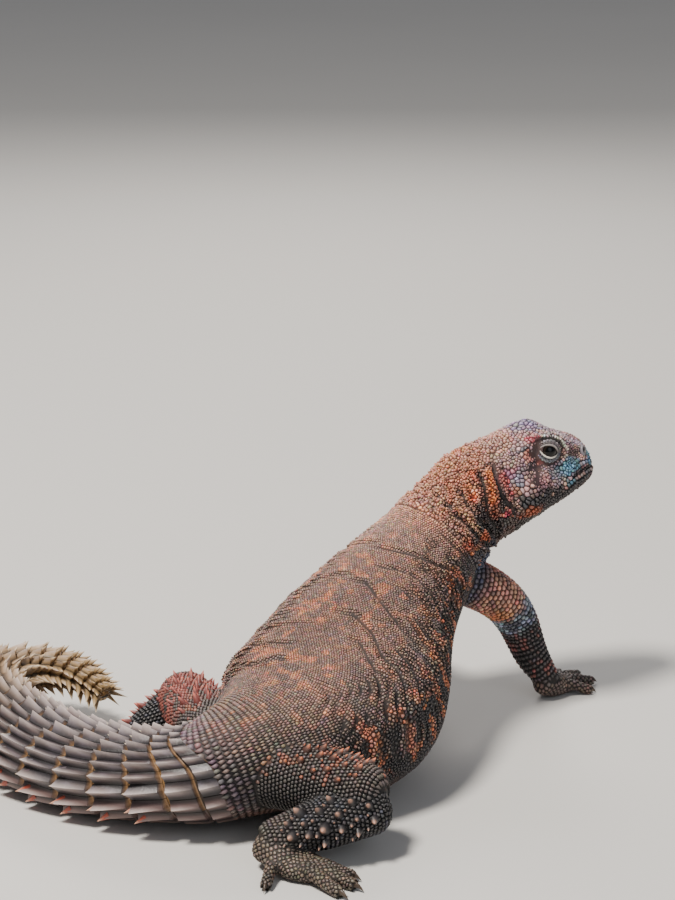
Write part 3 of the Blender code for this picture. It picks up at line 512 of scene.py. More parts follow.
# %% Tables of the limbs
# Millimetres from the floor under the hips, then half width and half height.
LIMBS = {
    "arm_right": (
        (100.0, 6.0, 48.5, 8.2, 8.2),
        (116.5, 0.6, 39.0, 7.7, 7.4),
        (129.6, -0.9, 25.0, 6.8, 6.4),
        (132.8, -3.6, 15.0, 5.8, 5.5),
        (136.6, -7.6, 6.6, 4.5, 4.0),
    ),
    "arm_left": (
        (96.0, 22.0, 48.5, 8.2, 8.2),
        (109.0, 35.0, 39.0, 7.7, 7.4),
        (118.6, 41.4, 26.0, 6.8, 6.4),
        (122.6, 46.6, 15.6, 5.8, 5.5),
        (126.4, 50.4, 6.6, 4.5, 4.0),
    ),
    "thigh_right": (
        (-1.0, -5.0, 18.5, 10.5, 10.5), (4.0, -21.5, 18.4, 10.2, 9.8), (8.0, -37.0, 17.0, 8.6, 8.0),
    ),
    "shin_right": (
        (7.6, -38.6, 13.0, 8.4, 7.4), (-3.6, -33.0, 11.0, 8.0, 7.0), (-16.0, -24.6, 8.0, 5.6, 5.2),
    ),
    "thigh_left": (
        (2.5, 11.0, 19.0, 10.5, 10.5), (11.5, 27.0, 21.0, 10.0, 9.6), (20.0, 42.0, 22.2, 8.4, 7.8),
    ),
    "shin_left": (
        (19.4, 44.6, 18.4, 8.0, 7.0), (12.4, 48.0, 13.4, 7.6, 6.6), (4.6, 51.6, 8.0, 5.4, 5.0),
    ),
}
# Wrist or ankle, heading in degrees, palm length and half width, and which side's paw it is.
PAWS = {
    "hand_right": (136.6, -7.4, 4, 11.5, 5.4, 1),
    "hand_left": (126.4, 50.4, 16, 11.5, 5.4, -1),
    "foot_right": (-17.6, -25.6, -84, 14.5, 6.0, 1),
    "foot_left": (5.6, 51.6, 38, 14.5, 6.0, -1),
}
# Turn from the paw's heading, root along and across the palm, reach and radius.
FINGERS = (
    (42, 0.42, 0.55, 10.5, 1.75),
    (21, 0.72, 0.52, 13.0, 1.75),
    (2, 0.80, 0.12, 14.0, 1.8),
    (-19, 0.74, -0.38, 13.0, 1.75),
    (-47, 0.45, -0.62, 10.5, 1.7),
)
TOES = (
    (30, 0.50, 0.50, 11.0, 1.75),
    (15, 0.80, 0.42, 14.0, 1.85),
    (1, 0.86, 0.08, 17.0, 1.9),
    (-13, 0.80, -0.34, 18.0, 1.9),
    (-66, 0.16, -0.45, 13.5, 1.7),
)


# %% Limbs as tubes
DOME_DEPTH, DOME_USED = 0.8, 0.98      # share of the half width, and how much of it is used


class Tube:
    """A limb: an elliptical tube along a course, whose ends are domes. Beyond an end the
    section shrinks as the square root of 1 minus x squared, as a ball's does."""

    def __init__(self, name, places, coat):
        rows = np.asarray(places, float)
        self.name, self.coat = name, coat * MM
        self.course = Course(placed(rows[:, :3]))
        chord = np.linalg.norm(np.diff(rows[:, :3], axis=0), axis=1)
        knots = np.concatenate([[0], np.cumsum(chord)])
        self.sizes = np.column_stack([knots / knots[-1] * self.course.length, rows[:, 3:] * MM])
        self.caps = self.sizes[[0, -1], 1:].mean(1) * DOME_DEPTH
        self.start = -self.caps[0] * DOME_USED
        self.end = self.course.length + self.caps[1] * DOME_USED

    def surface(self, s, v, grow=0.0):
        """Places at s metres along and v radians round from the top, lifted by grow."""
        s, v, grow = np.broadcast_arrays(np.asarray(s, float), np.asarray(v, float), grow)
        grow = grow[..., None]
        on = np.clip(s, 0, self.course.length)
        centre, heading, left, up = self.course.frame(on)
        past = (s - on)[..., None]
        cap = np.where(past < 0, self.caps[0], self.caps[1]) + grow
        shrink = np.sqrt(np.clip(1 - (past / cap) ** 2, 0, 1))
        half = smooth_table(self.sizes, on) + grow
        ring = left * (half[..., :1] * np.sin(v)[..., None]) + up * (half[..., 1:] * np.cos(v)[..., None])
        return centre + heading * past + ring * shrink


class Body:
    """Head, neck, trunk and tail, in the same terms as a limb."""

    name, start = "body", 0.25 * MM
    end = spine_course.length - 1.0 * MM

    def surface(self, s, v, grow=0.0):
        """Places at s metres along and v radians round from the crown, lifted by grow."""
        return body_surface(s, v, grow)


def palm_tube(name):
    """The low palm of a hand or the sole of a foot."""
    x, y, heading, length, width, _ = PAWS[name]
    ahead = np.array([math.cos(math.radians(heading)), math.sin(math.radians(heading))])
    share = np.array([0.0, 0.35, 0.7, 1.0]) - 0.12
    flat = np.array([x, y]) + np.outer(share * length, ahead)
    wide = width * np.array([0.78, 0.92, 1.0, 0.86])
    return Tube(name, np.column_stack([flat, (6.0, 4.2, 2.9, 2.2), wide, (4.6, 4.2, 3.4, 2.6)]), 0.22)


def digit_places(name, digit):
    """The course of a finger or toe, millimetres from the floor under the hips: arched from
    its root, low on its pad, then the claw. The last two columns are half width and height."""
    x, y, heading, length, width, side = PAWS[name]
    turn, start, across, reach, radius = digit
    way = math.radians(heading)
    ahead = np.array([math.cos(way), math.sin(way)])
    left = np.array([-ahead[1], ahead[0]])
    root = np.array([x, y]) + ahead * length * start + left * width * across * side
    pointing = way + side * math.radians(turn)
    share = np.array([0, 0.28, 0.55, 0.78, 0.84, 1.0])
    flat = root + np.outer(share * reach, (math.cos(pointing), math.sin(pointing)))
    height = np.array([3.3, 3.37, 2.31, radius * 0.86, radius * 0.8, 0.42])
    size = radius * np.array([1.25, 1.1, 0.98, 0.95, 0.6, 0.14])
    return np.column_stack([flat, height, size, size])


body = Body()
tubes = [Tube(name, places, 0.4) for name, places in LIMBS.items()]
paws = [palm_tube(name) for name in PAWS]
digits = []
for paw_name in PAWS:
    for number, digit in enumerate(FINGERS if paw_name.startswith("hand") else TOES):
        digits.append(Tube(f"{paw_name}_digit_{number}", digit_places(paw_name, digit)[:4], 0.2))
limbs = tubes + paws + digits
print("limb tubes", len(limbs))

# %% [markdown]
# ## One skin
# A real animal has no seams, so body, limbs and digits become one closed skin. Each is first a
# closed shell, sunk by the depth of its scales. A Boolean union would leave hard creases, so a
# voxel remesh melts the overlapping shells into one, and the creases are smoothed away.

# %% Shells
# Millimetres from the snout, and how far the skin lies under the tops of the scales.
COAT_DEPTH = (
    (0.0, 0.40),
    (36.0, 0.42),
    (60.0, 0.32),
    (176.0, 0.34),
    (190.0, 0.75),
    (300.0, 0.65),
    (342.0, 0.40),
)
VOXEL = 0.82 * MM


def even_angles(count):
    """Angles of a full turn in count equal steps."""
    return np.linspace(0, 2 * math.pi, count, endpoint=False)


def depth_of_coat(part, s):
    """Metres that the skin lies under the tops of the scales, at s metres along a part."""
    if part is body:
        return smooth_table(COAT_DEPTH, np.asarray(s) / MM)[..., 0] * MM
    return np.full(np.shape(s), part.coat)


def ring_quads(index):
    """Four-sided faces between rings of places, which the rows of index number."""
    turned = np.roll(index, -1, axis=1)
    return np.stack([index[:-1], index[1:], turned[1:], turned[:-1]], -1).reshape(-1, 4)


OTHER_WAY = [0, 3, 2, 1]      # the corners of a face in turn, but the other way round


def pole_fans(index):
    """Three-sided faces that close the first and last ring to two poles, numbered after them."""
    turned = np.roll(index, -1, axis=1)
    pole = np.full(index.shape[1], index.size)
    first = np.stack([pole, index[0], turned[0]], -1)
    last = np.stack([pole + 1, turned[-1], index[-1]], -1)
    return np.concatenate([first, last])


def closed_shell(part, along, around):
    """Points and faces of a part's skin: rings along it, closed by a fan at either end. The
    rings stand closer at the ends: their share of the way is x - sin(2 pi x) / (4 pi)."""
    bend = np.linspace(0, 1, along)
    stations = part.start + (part.end - part.start) * (bend - np.sin(2 * math.pi * bend) / (4 * math.pi))
    sink = depth_of_coat(part, stations)[:, None]
    rings = part.surface(stations[:, None], even_angles(around)[None, :], -sink)
    points = np.concatenate([rings.reshape(-1, 3), rings[[0, -1]].mean(1)])
    index = np.arange(along * around).reshape(along, around)
    return points, ring_quads(index), pole_fans(index)


def add_mesh(name, points, quads=None, tris=None):
    """A mesh object from whole arrays of places, four-sided and three-sided faces."""
    quads = np.zeros((0, 4), int) if quads is None else np.asarray(quads)
    tris = np.zeros((0, 3), int) if tris is None else np.asarray(tris)
    mesh = bpy.data.meshes.new(name)
    mesh.vertices.add(len(points))
    mesh.vertices.foreach_set("co", np.asarray(points, np.float32).ravel())
    corners = np.concatenate([quads.ravel(), tris.ravel()]).astype(np.int32)
    counts = np.concatenate([np.full(len(quads), 4), np.full(len(tris), 3)]).astype(np.int32)
    mesh.loops.add(len(corners))
    mesh.loops.foreach_set("vertex_index", corners)
    mesh.polygons.add(len(counts))
    starts = np.concatenate([[0], np.cumsum(counts)[:-1]]).astype(np.int32)
    mesh.polygons.foreach_set("loop_start", starts)
    mesh.update(calc_edges=True)
    mesh.validate()
    mesh.polygons.foreach_set("use_smooth", np.ones(len(counts), bool))
    made = bpy.data.objects.new(name, mesh)
    bpy.context.scene.collection.objects.link(made)
    return made


def mesh_points(mesh):
    """Places of a mesh as one array."""
    flat = np.empty(len(mesh.vertices) * 3, np.float32)
    mesh.vertices.foreach_get("co", flat)
    return flat.reshape(-1, 3).astype(float)


SHELL_STEP = 0.55 * MM
BODY_AROUND, LIMB_AROUND = 150, 40
shells, quads, tris, count = [], [], [], 0
for part in (body, *limbs):
    along = max(int((part.end - part.start) / SHELL_STEP), 10)
    shell = closed_shell(part, along, BODY_AROUND if part is body else LIMB_AROUND)
    shells.append(shell[0])
    quads.append(shell[1] + count)
    tris.append(shell[2] + count)
    count += len(shell[0])
skin = add_mesh("skin", np.concatenate(shells), np.concatenate(quads), np.concatenate(tris))
melt = skin.modifiers.new("melt", "REMESH")
melt.mode = "VOXEL"
melt.voxel_size = VOXEL
melted = bpy.data.meshes.new_from_object(skin.evaluated_get(bpy.context.evaluated_depsgraph_get()))
skin.modifiers.clear()
skin.data = melted
print("skin", len(melted.vertices), "places", len(melted.polygons), "faces")

# %% [markdown]
# ## Which part is where
# Markings and scales follow the body, not the room: they need to know how far along a part a
# place lies and how far round it. The remesh has lost that, and a search tree over each part's
# own surface finds it again, with the distance to the surface, less than nothing inside.

# %% Search trees
def search_tree(places):
    """A tree that finds the nearest of the places."""
    tree = KDTree(len(places))
    for number, place in enumerate(places):
        tree.insert(place, number)
    tree.balance()
    return tree


class Chart:
    """A part's surface as a grid that is searched for the nearest place."""

    def __init__(self, part, along, around):
        stations = np.linspace(part.start, part.end, along)
        angles = even_angles(around)
        grid = part.surface(stations[:, None], angles[None, :])
        down = np.gradient(grid, axis=0)
        round_it = np.roll(grid, -1, 1) - np.roll(grid, 1, 1)
        self.part = part
        self.points = grid.reshape(-1, 3)
        self.normals = unit(np.cross(round_it, down)).reshape(-1, 3)
        self.s = np.repeat(stations, around)
        self.v = np.tile(angles, along)
        self.low, self.high = self.points.min(0) - 4 * MM, self.points.max(0) + 4 * MM
        self.tree = search_tree(self.points)

    def near(self, places):
        """Number of the nearest grid place, and signed distance, for places near the part."""
        found = np.full(len(places), -1)
        away = np.full(len(places), 1.0)
        close = np.flatnonzero(((places > self.low) & (places < self.high)).all(1))
        if len(close):
            found[close] = [self.tree.find(place)[1] for place in places[close]]
            which = found[close]
            away[close] = ((places[close] - self.points[which]) * self.normals[which]).sum(1)
        return found, away


charts = [Chart(body, 380, 110)] + [Chart(part, 40, 32) for part in tubes]
charts += [Chart(part, 26, 28) for part in paws] + [Chart(part, 22, 16) for part in digits]
print("charts", len(charts))


def charted(places):
    """For each place the part it lies on, s and v there, and distance to the second nearest
    part."""
    found = [chart.near(places) for chart in charts]
    away = np.stack([result[1] for result in found])
    reach = np.abs(away)
    owner = reach.argmin(0)
    second = np.sort(reach, axis=0)[1]
    s, v = np.zeros(len(places)), np.zeros(len(places))
    for number, chart in enumerate(charts):
        mine = owner == number
        which = found[number][0][mine]
        s[mine], v[mine] = chart.s[which], chart.v[which]
    return owner, s, v, second


# %% Smooth the skin where parts meet
JUNCTION = 3.0 * MM      # how far from a second part its neighbourhood reaches


def relaxed(points, edges, weight, rounds):
    """Moves each place towards the mean of its neighbours, weight of the way, each round."""
    many = np.bincount(edges.ravel(), minlength=len(points))[:, None]
    for _ in range(rounds):
        total = np.stack(
            [
                np.bincount(edges[:, 0], points[edges[:, 1], axis], len(points))
                + np.bincount(edges[:, 1], points[edges[:, 0], axis], len(points))
                for axis in range(3)
            ],
            -1,
        )
        points = points + weight[:, None] * (total / np.maximum(many, 1) - points)
    return points


edge_ends = np.empty(len(melted.edges) * 2, np.int32)
melted.edges.foreach_get("vertices", edge_ends)
edge_ends = edge_ends.reshape(-1, 2)
skin_points = mesh_points(melted)
skin_owner, skin_s, skin_v, second = charted(skin_points)
meeting = np.clip(1 - second / JUNCTION, 0, 1)
meeting[skin_owner > len(tubes)] *= 0.4
skin_points = relaxed(skin_points, edge_ends, np.full(len(skin_points), 0.4), 2)
skin_points = relaxed(skin_points, edge_ends, 0.55 * meeting, 14)
skin_points[:, 2] = np.maximum(skin_points[:, 2], 0.05 * MM)
melted.vertices.foreach_set("co", skin_points.astype(np.float32).ravel())
melted.update()
melted.polygons.foreach_set("use_smooth", np.ones(len(melted.polygons), bool))
skin_tree = BVHTree.FromObject(skin, bpy.context.evaluated_depsgraph_get())
print("smoothed places", int((meeting > 0.05).sum()))

# %% [markdown]
# ## Markings
# Skin and scales take their colour from the same functions of the place on the body, so a
# blotch runs through both. Nodes could mix them too, but they don't know where on the body a
# place lies, and a real scale has one colour all over. So masks lay tints over each other
# here, soft random clouds break them up, and the mesh stores the result. Nothing is an image.

# %% Colour helpers
def tint(code):
    """A colour code as red, green and blue in linear light."""
    parts = np.array([int(code[i : i + 2], 16) for i in (0, 2, 4)]) / 255
    return np.where(parts <= 0.04045, parts / 12.92, ((parts + 0.055) / 1.055) ** 2.4)


def all_over(code, many):
    """One tint for many places."""
    return np.repeat(tint(code)[None], many, 0)


def turn_side(v):
    """Degrees from the crown, the same on both sides."""
    return np.abs(from_crown(v))


def lay(colours, mask, code):
    """Lays a tint over colours where the mask is 1."""
    return colours + np.clip(mask, 0, 1)[:, None] * (tint(code) - colours)


def cloud(places, size, seed):
    """A soft random value from 0 to 1 that changes over about size millimetres: numbers at
    the corners of a lattice of cubes, which large odd factors scramble from the corner's
    coordinates and the seed, blended smoothly between them."""
    p = np.asarray(places) / (size * MM) + seed * 7.31
    cell = np.floor(p).astype(np.int64)
    f = p - cell
    f = f * f * (3 - 2 * f)
    total = np.zeros(len(p))
    for corner in itertools.product((0, 1), repeat=3):
        c = cell + corner
        mixed = (c[:, 0] * 73856093) ^ (c[:, 1] * 19349663) ^ (c[:, 2] * 83492791) ^ (seed * 40503)
        mixed = ((mixed ^ (mixed >> 13)) * 1274126177) & 0x7FFFFFFF
        mixed = ((mixed ^ (mixed >> 15)) * 668265263) & 0x7FFFFFFF
        total += (mixed & 0xFFFF) / 65535 * np.prod(np.where(corner, f, 1 - f), axis=1)
    return total


print("tint of the neck's brightest scales", tint("ff8440").round(3))

# %% Where the whorls of the tail meet
# Millimetres from the snout. The first whorls lean: on top they lie further back.
WHORLS = np.array(
    (178, 182, 188, 196.8, 207.5, 219.5, 232, 243, 253, 262.5, 271, 279, 286, 292.5, 298, 303, 308)
    + (312.8, 317.4, 322, 326.2, 329.8, 332.6)
)
WHORL_LEAN = 6.0
print("whorls", len(WHORLS) - 1)


def whorl_lean(s, turn):
    """Millimetres that a whorl lies further back at turn degrees from the crown: most on
    top, nothing low on the side, and less from whorl to whorl up to the fifth."""
    over = np.clip(1 - np.abs(turn) / 75, 0, 1)
    return WHORL_LEAN * np.clip((219.5 - s) / 31.5, 0, 1) * over * over * (3 - 2 * over)


def whorl_place(s, turn):
    """The station that a place would have if its whorl didn't lean."""
    return s - whorl_lean(s, turn)


# %% Tables of spots
# Millimetres from the snout and degrees from the crown of a spot's middle, its half length
# and half width in the same units, strength and tint. Later rows lie over earlier ones.
HEAD_SPOTS = (
    ("crown", 20.5, 4, 6.0, 26, 0.9, "8f7f9c"),
    ("crown front", 10.5, 14, 5.0, 24, 0.7, "a08c9a"),
    ("rear crown", 31.0, 20, 5.0, 44, 0.7, "c48a76"),
    ("temple", 27.0, 48, 6.0, 16, 0.6, "a58a90"),
    ("temple stripe", 25.5, 47, 3.4, 4, 0.85, "3d4658"),
    ("temple pink", 25.0, 54, 1.6, 6, 0.8, "dd7f68"),
    ("cheek rows", 27.0, 70, 5.5, 8, 0.8, "6d5360"),
    ("cheek pink", 31.2, 65, 1.8, 6, 0.9, "bd6a84"),
    ("cheek beads", 30.0, 77, 3.0, 7, 0.85, "8a8698"),
    ("cheek brown", 31.8, 84, 1.6, 6, 0.8, "a5603c"),
    ("jaw corner", 21.5, 88, 4.5, 8, 0.8, "7a4a54"),
    ("jaw pink", 20.0, 84, 2.0, 4, 0.8, "c98a88"),
    ("lower cheek", 26.0, 101, 9.0, 12, 1.0, "14151f"),
    ("red front of the slit", 33.6, 74, 1.2, 15, 0.9, "c8404a"),
    ("pink behind the eye", 24.4, 62, 1.6, 4, 0.9, "e08480"),
    ("pink under the eye", 20.8, 67, 1.6, 4, 0.95, "ea8078"),
    ("dark under the eye", 23.6, 66, 3.0, 2.6, 0.85, "3a2c38"),
    ("snout ridge", 5.5, 42, 5.0, 11, 0.75, "ab9aa8"),
    ("lips", 9.5, 79, 6.5, 12, 0.95, "3f7288"),
    ("bright lips", 11.5, 81, 2.4, 6, 0.8, "6aa6c8"),
    ("rear lips", 16.0, 82, 3.0, 10, 0.7, "5c6c80"),
    ("snout side", 7.4, 62, 3.0, 6, 0.85, "54403c"),
    ("snout tip", 1.4, 66, 1.8, 34, 0.9, "5690a4"),
    ("snout front", 3.0, 78, 2.6, 8, 0.85, "4f7fa4"),
    ("jaw", 7.0, 103, 9.0, 14, 0.95, "2b3138"),
    ("jaw patch", 7.0, 97, 2.8, 4, 0.7, "7c6a70"),
    ("jaw teal", 11.5, 98, 1.8, 5, 0.9, "1f6a7c"),
    ("chin", 17.0, 122, 9.0, 26, 0.95, "1b151c"),
    ("throat", 30.0, 160, 12.0, 40, 0.95, "1e1618"),
    ("throat orange", 28.0, 118, 4.5, 11, 0.9, "a8502a"),
    ("nostril", 3.3, 60, 1.3, 7, 0.9, "6c6670"),
)
NECK_SPOTS = (
    ("low neck", 45.0, 100, 9.0, 26, 0.95, "19131a"),
    ("shoulder blue", 55.0, 140, 8.5, 28, 0.95, "1c3354"),
    ("neck below the cluster", 44.5, 80, 2.4, 10, 0.9, "2a1c22"),
    ("nape sides", 43.0, 36, 7.0, 18, 0.8, "c47a5e"),
    ("nape", 43.0, 4, 7.0, 16, 0.7, "c98462"),
    ("upper column", 40.0, 48, 1.3, 10, 0.9, "d6694a"),
    ("neck cluster", 44.0, 62, 1.7, 6, 1.0, "ff6a34"),
    ("above the cluster", 42.6, 53, 1.3, 6, 0.9, "df8a52"),
    ("rear column", 42.6, 86, 1.0, 12, 0.8, "a04c30"),
    ("neck edge", 49.8, 70, 0.9, 26, 0.9, "d3a07a"),
    ("second edge", 48.0, 52, 0.7, 9, 0.8, "cf9c78"),
    ("neck edge beads", 49.2, 103, 1.8, 9, 1.0, "f0784c"),
    ("throat beads", 37.2, 103, 1.8, 5, 1.0, "d64e62"),
    ("shoulder", 75.0, 74, 2.4, 12, 0.8, "e07444"),
    ("chest", 56.5, 86, 2.0, 10, 0.8, "c8623e"),
)


print("spots", len(HEAD_SPOTS + NECK_SPOTS))


def with_spots(out, table, s, side, ragged):
    """Lays the spots of a table over colours, each 1 inside its ragged edge and 0 outside."""
    for _, at, where, long, wide, strength, code in table:
        away = np.hypot((s - at) / long, (side - where) / wide)
        out = lay(out, strength * (1 - rise(away + ragged, 0.55, 1.25)), code)
    return out


# %% Markings of head, neck, trunk and tail
def body_marking(s, v, places):
    """The colour at s metres and v radians: tints laid on by where the place is."""
    s = s / MM
    turn = from_crown(v)
    side = np.abs(turn)
    small, middling, large = (cloud(places, size, seed) for size, seed in ((1.3, 1), (3.0, 2), (10.0, 3)))
    ragged = 0.8 * (small - 0.5)
    fine, blotch = cloud(places, 2.7, 4), cloud(places, 4.6, 5)
    out = all_over("967264", len(s))
    out = lay(out, rise(large, 0.35, 0.7) * 0.4, "745a52")
    flank = rise(side, 34, 76)
    out = lay(out, flank * 0.9, "4b4341")
    out = lay(out, rise(middling, 0.45, 0.7) * (0.25 + 0.30 * flank), "6c666c")
    out = lay(out, rise(blotch + 0.5 * (small - 0.5) - 0.08 * flank, 0.56, 0.80) * 0.5, "a96e54")
    out = lay(out, rise(fine + 0.35 * (small - 0.5) - 0.07 * flank, 0.60, 0.78) * 0.8, "dc8c66")
    lower = rise(side, 70, 90) * band(s, 60, 74, 148, 160)
    out = lay(out, lower * 0.92, "1c1b22")
    wave = np.cos(2 * math.pi * (s - 113.5 + 0.12 * (side - 85)) / 8.9)
    column = rise(wave + 1.5 * (small - 0.5) + 1.6 * (middling - 0.5), 0.40, 0.90)
    spots = band(side, 60, 70, 100, 114) * band(s, 62, 72, 150, 160) * column
    out = lay(out, spots * 0.95, "e27f48")
    out = lay(out, spots * rise(middling, 0.5, 0.6) * 0.7, "c9806a")
    belly = rise(side, 116, 136)
    out = lay(out, belly, "4c3028")
    out = lay(out, belly * rise(middling, 0.5, 0.7) * 0.8, "2c2020")
    hips = rise(s, 150, 168) * (1 - belly)
    out = lay(out, hips * 0.75, "7a665c")
    out = lay(out, hips * rise(side, 56, 86) * 0.8, "2f2c2c")
    out = lay(out, hips * rise(cloud(places, 2.0, 6), 0.70, 0.84) * 0.7, "b8745a")
    out = lay(out, rise(s, 168, 182) * (1 - belly) * 0.7, "675862")
    out = lay(out, rise(whorl_place(s, turn), 180.5, 183.5) * (1 - rise(side, 120, 150)), "96703f")
    out = lay(out, hill(s, 60, 24) * (1 - rise(side, 50, 85)) * 0.6, "c49a8a")
    nape = band(s, 30, 36, 50, 70) * (1 - rise(side, 60, 90))
    out = lay(out, nape * 0.8, "cc9078")
    out = lay(out, nape * rise(middling, 0.45, 0.65) * 0.7, "e08a66")
    out = lay(out, nape * rise(small, 0.55, 0.75) * 0.6, "e8a68c")
    # Painted shade in the hollows between the nape's knobs.
    out = lay(out, nape * rise(-knobs(s, turn), 0.1, 0.6) * 0.7, "52302b")
    out = with_spots(out, NECK_SPOTS, s, side, ragged)
    column_at = np.interp(side, (50, 56, 68, 80, 90), (35.5, 35.8, 38.0, 39.2, 40.6))
    out = lay(out, hill(s, column_at, 1.6) * band(side, 50, 55, 80, 92), "ff8440")
    out = lay(out, hill(s, column_at, 1.3) * band(side, 78, 90, 96, 104) * 0.8, "a04c34")
    # Painted shade: near-black in the valleys of the neck folds, darkest in the first.
    sunk = rise(-fold_height(s, side, NECK_FOLDS), 0.1, 0.6)
    out = lay(out, sunk * (0.7 + 0.3 * hill(s, 36, 3)), "120c0e")
    crease = fold_height(s, turn, FLANK_FOLDS)
    trunk = rise(s, 60, 66)
    # Painted shade in the valleys of the flank folds, and a painted highlight on their ridges.
    out = lay(out, trunk * rise(-crease, 0.15, 0.7) * 0.5, "2a2120")
    out = lay(out, trunk * rise(crease, 0.06, 0.25) * 0.35, "c99a82")
    wrinkle = wrinkles(s, turn)
    # Painted shade in the troughs of the flank wrinkles, and a painted highlight on their crests.
    out = lay(out, rise(-wrinkle, 0.1, 0.65) * 0.75, "1a1514")
    out = lay(out, rise(wrinkle, 0.3, 0.8) * 0.35, "c8a896")
    return head_marking(out, s, side, places, small, middling, ragged)


def head_marking(out, s, side, places, small, middling, ragged):
    """Pink-grey above with a lavender crown, blue-grey lips, dark jaw and throat, and a line of painted
    shade in the mouth's groove. Along each brow there is a painted shadow under its overhang, a pale edge
    and a red rear."""
    head = 1 - rise(s, 32.5, 36.5)
    own = all_over("b48c88", len(s))
    own = lay(own, rise(middling, 0.4, 0.7) * 0.6, "7a5f66")
    own = lay(own, rise(small, 0.55, 0.75) * 0.6, "dba596")
    own = lay(own, rise(side, 103, 116) * 0.92, "1c161b")
    own = with_spots(own, HEAD_SPOTS, s, side, ragged)
    for eye in (1, -1):
        ahead, above, along = from_eye(places, eye)
        brow = brow_height(ahead)
        near = (along > 0) & (s < 32)
        groove = near * hill(above, brow - 0.9, 0.55) * band(ahead, -8, -6, 5, 7)
        edge = near * hill(above, brow + 0.1, 0.7) * band(ahead, -5, -3, 6, 8)
        rear = near * hill(above, brow, 0.9) * band(ahead, -9, -7.5, -4.5, -3)
        # Painted shadow under the brow's overhang, then its pale edge and red rear.
        own = lay(own, groove, "15131a")
        own = lay(own, edge, "e2d6cc")
        own = lay(own, rear, "b84a58")
    past_lip = side - mouth_line(s)
    # Painted shade: near-black along the sunk line of the mouth, up to its corner.
    own = lay(own, hill(past_lip, 0, 2.0) * (1 - rise(s, 15.5, 17.5)), "0d0b0d")
    return out + head[:, None] * (own - out)


# %% Markings of the limbs
def limb_marking(name, share, v, places):
    """The colour on a limb, share of the way along it and v radians round from its top."""
    small, middling = cloud(places, 1.5, 11), cloud(places, 3.5, 12)
    side = turn_side(v)
    if name.startswith("arm"):
        out = all_over("cc8c76", len(share))
        out = lay(out, rise(middling, 0.45, 0.65) * 0.6, "e09a80")
        out = lay(out, rise(small, 0.55, 0.75) * 0.6, "4a3f48")
        out = lay(out, hill(share, 0.40, 0.10) * rise(side, 104, 140) * 0.9, "b56a2e")
        out = lay(out, rise(share, 0.42, 0.50), "3a414e")
        out = lay(out, rise(share, 0.42, 0.50) * rise(small, 0.4, 0.6) * 0.8, "93a2b4")
        out = lay(out, (1 - rise(share, 0.12, 0.24)) * 0.95, "182c48")
        fore = rise(share, 0.58, 0.66)
        out = lay(out, fore, "241e22")
        out = lay(out, fore * rise(middling, 0.45, 0.6) * 0.6, "47383e")
        return lay(out, fore * rise(small + 0.4 * middling, 0.82, 0.95) * 0.8, "84423a")
    if name.startswith("thigh"):
        out = all_over("1f1b1c", len(share))
        out = lay(out, (1 - rise(side, 40, 90)) * 0.5, "5c4c46")
        out = lay(out, rise(small, 0.5, 0.8) * 0.4, "1e1f26")
        out = lay(out, rise(small + 0.5 * middling, 1.0, 1.08) * (1 - rise(side, 60, 105)) * 0.7, "a05a42")
        if name.endswith("left"):
            out = lay(out, rise(share, 0.3, 0.6) * rise(small, 0.3, 0.5) * 0.9, "8c4238")
        return out
    if name.startswith("shin"):
        out = all_over("0f0f16", len(share))
        out = lay(out, rise(small, 0.5, 0.75) * 0.45, "3a404e")
        out = lay(out, rise(middling, 0.55, 0.7) * 0.3, "3c3436")
        return lay(out, rise(share, 0.66, 0.95) * 0.7, "50463e")
    if name.startswith("foot"):
        out = all_over("645446", len(share))
        return lay(out, rise(middling, 0.4, 0.7) * 0.6, "3e342c")
    out = all_over("4c3b36", len(share))
    return lay(out, rise(middling, 0.45, 0.7) * 0.6, "6e5448")


def marking(owner, s, v, places):
    """The colour of every place, whichever part it lies on."""
    out = np.zeros((len(s), 3))
    for number, chart in enumerate(charts):
        mine = owner == number
        if not mine.any():
            continue
        if chart.part is body:
            out[mine] = body_marking(s[mine], v[mine], places[mine])
        else:
            share = s[mine] / chart.part.course.length
            out[mine] = limb_marking(chart.part.name, share, v[mine], places[mine])
    return out


def set_colours(made, colours, lift=None):
    """Stores a colour and a lift, 0 at a scale's rim and 1 on its crown, at every place."""
    mesh = made.data
    rgba = np.column_stack([colours, np.ones(len(colours))]).astype(np.float32)
    layer = mesh.color_attributes.new(name="marking", type="FLOAT_COLOR", domain="POINT")
    layer.data.foreach_set("color", rgba.ravel())
    lift = np.zeros(len(colours)) if lift is None else lift
    layer = mesh.attributes.new("lift", "FLOAT", "POINT")
    layer.data.foreach_set("value", lift.astype(np.float32))


skin_colours = marking(skin_owner, skin_s, skin_v, skin_points)
in_whorls = rise(skin_s / MM, 183, 187) * (skin_owner == 0) * (turn_side(skin_v) < 120)
set_colours(skin, skin_colours, in_whorls)
print("mean skin colour", skin_colours.mean(0).round(3))

# %% [markdown]
# ## Eyes and lids
# The eye is a dark ball under a clear, wet cornea. Two lids wrap it: a dome with an almond
# opening that dips towards the snout, a pale, swollen rim, and rings of fine scales outside it.
# The skin's net is too coarse for such a rim, so ball and lids are surfaces of their own.

# %% Eyes
CORNEA_HEIGHT, CORNEA_SPREAD = 0.25 * MM, 0.5


def round_eye(side, theta, phi, radius):
    """Places radius metres from an eye's centre: theta radians from the way it looks, and
    phi round that from the long axis of the opening."""
    centre, gaze, long, short = eye_axes(side)
    direction = (
        np.cos(theta)[..., None] * gaze
        + (np.sin(theta) * np.cos(phi))[..., None] * long
        + (np.sin(theta) * np.sin(phi))[..., None] * short
    )
    return centre + radius[..., None] * direction


def eye_surface(side, theta, phi):
    """The eyeball: a ball and the cornea's low bulge, which falls as exp(-x squared), where
    x is theta over its spread."""
    bulge = CORNEA_HEIGHT * np.exp(-((theta / CORNEA_SPREAD) ** 2))
    return round_eye(side, theta, phi, EYE_RADIUS * MM + bulge)


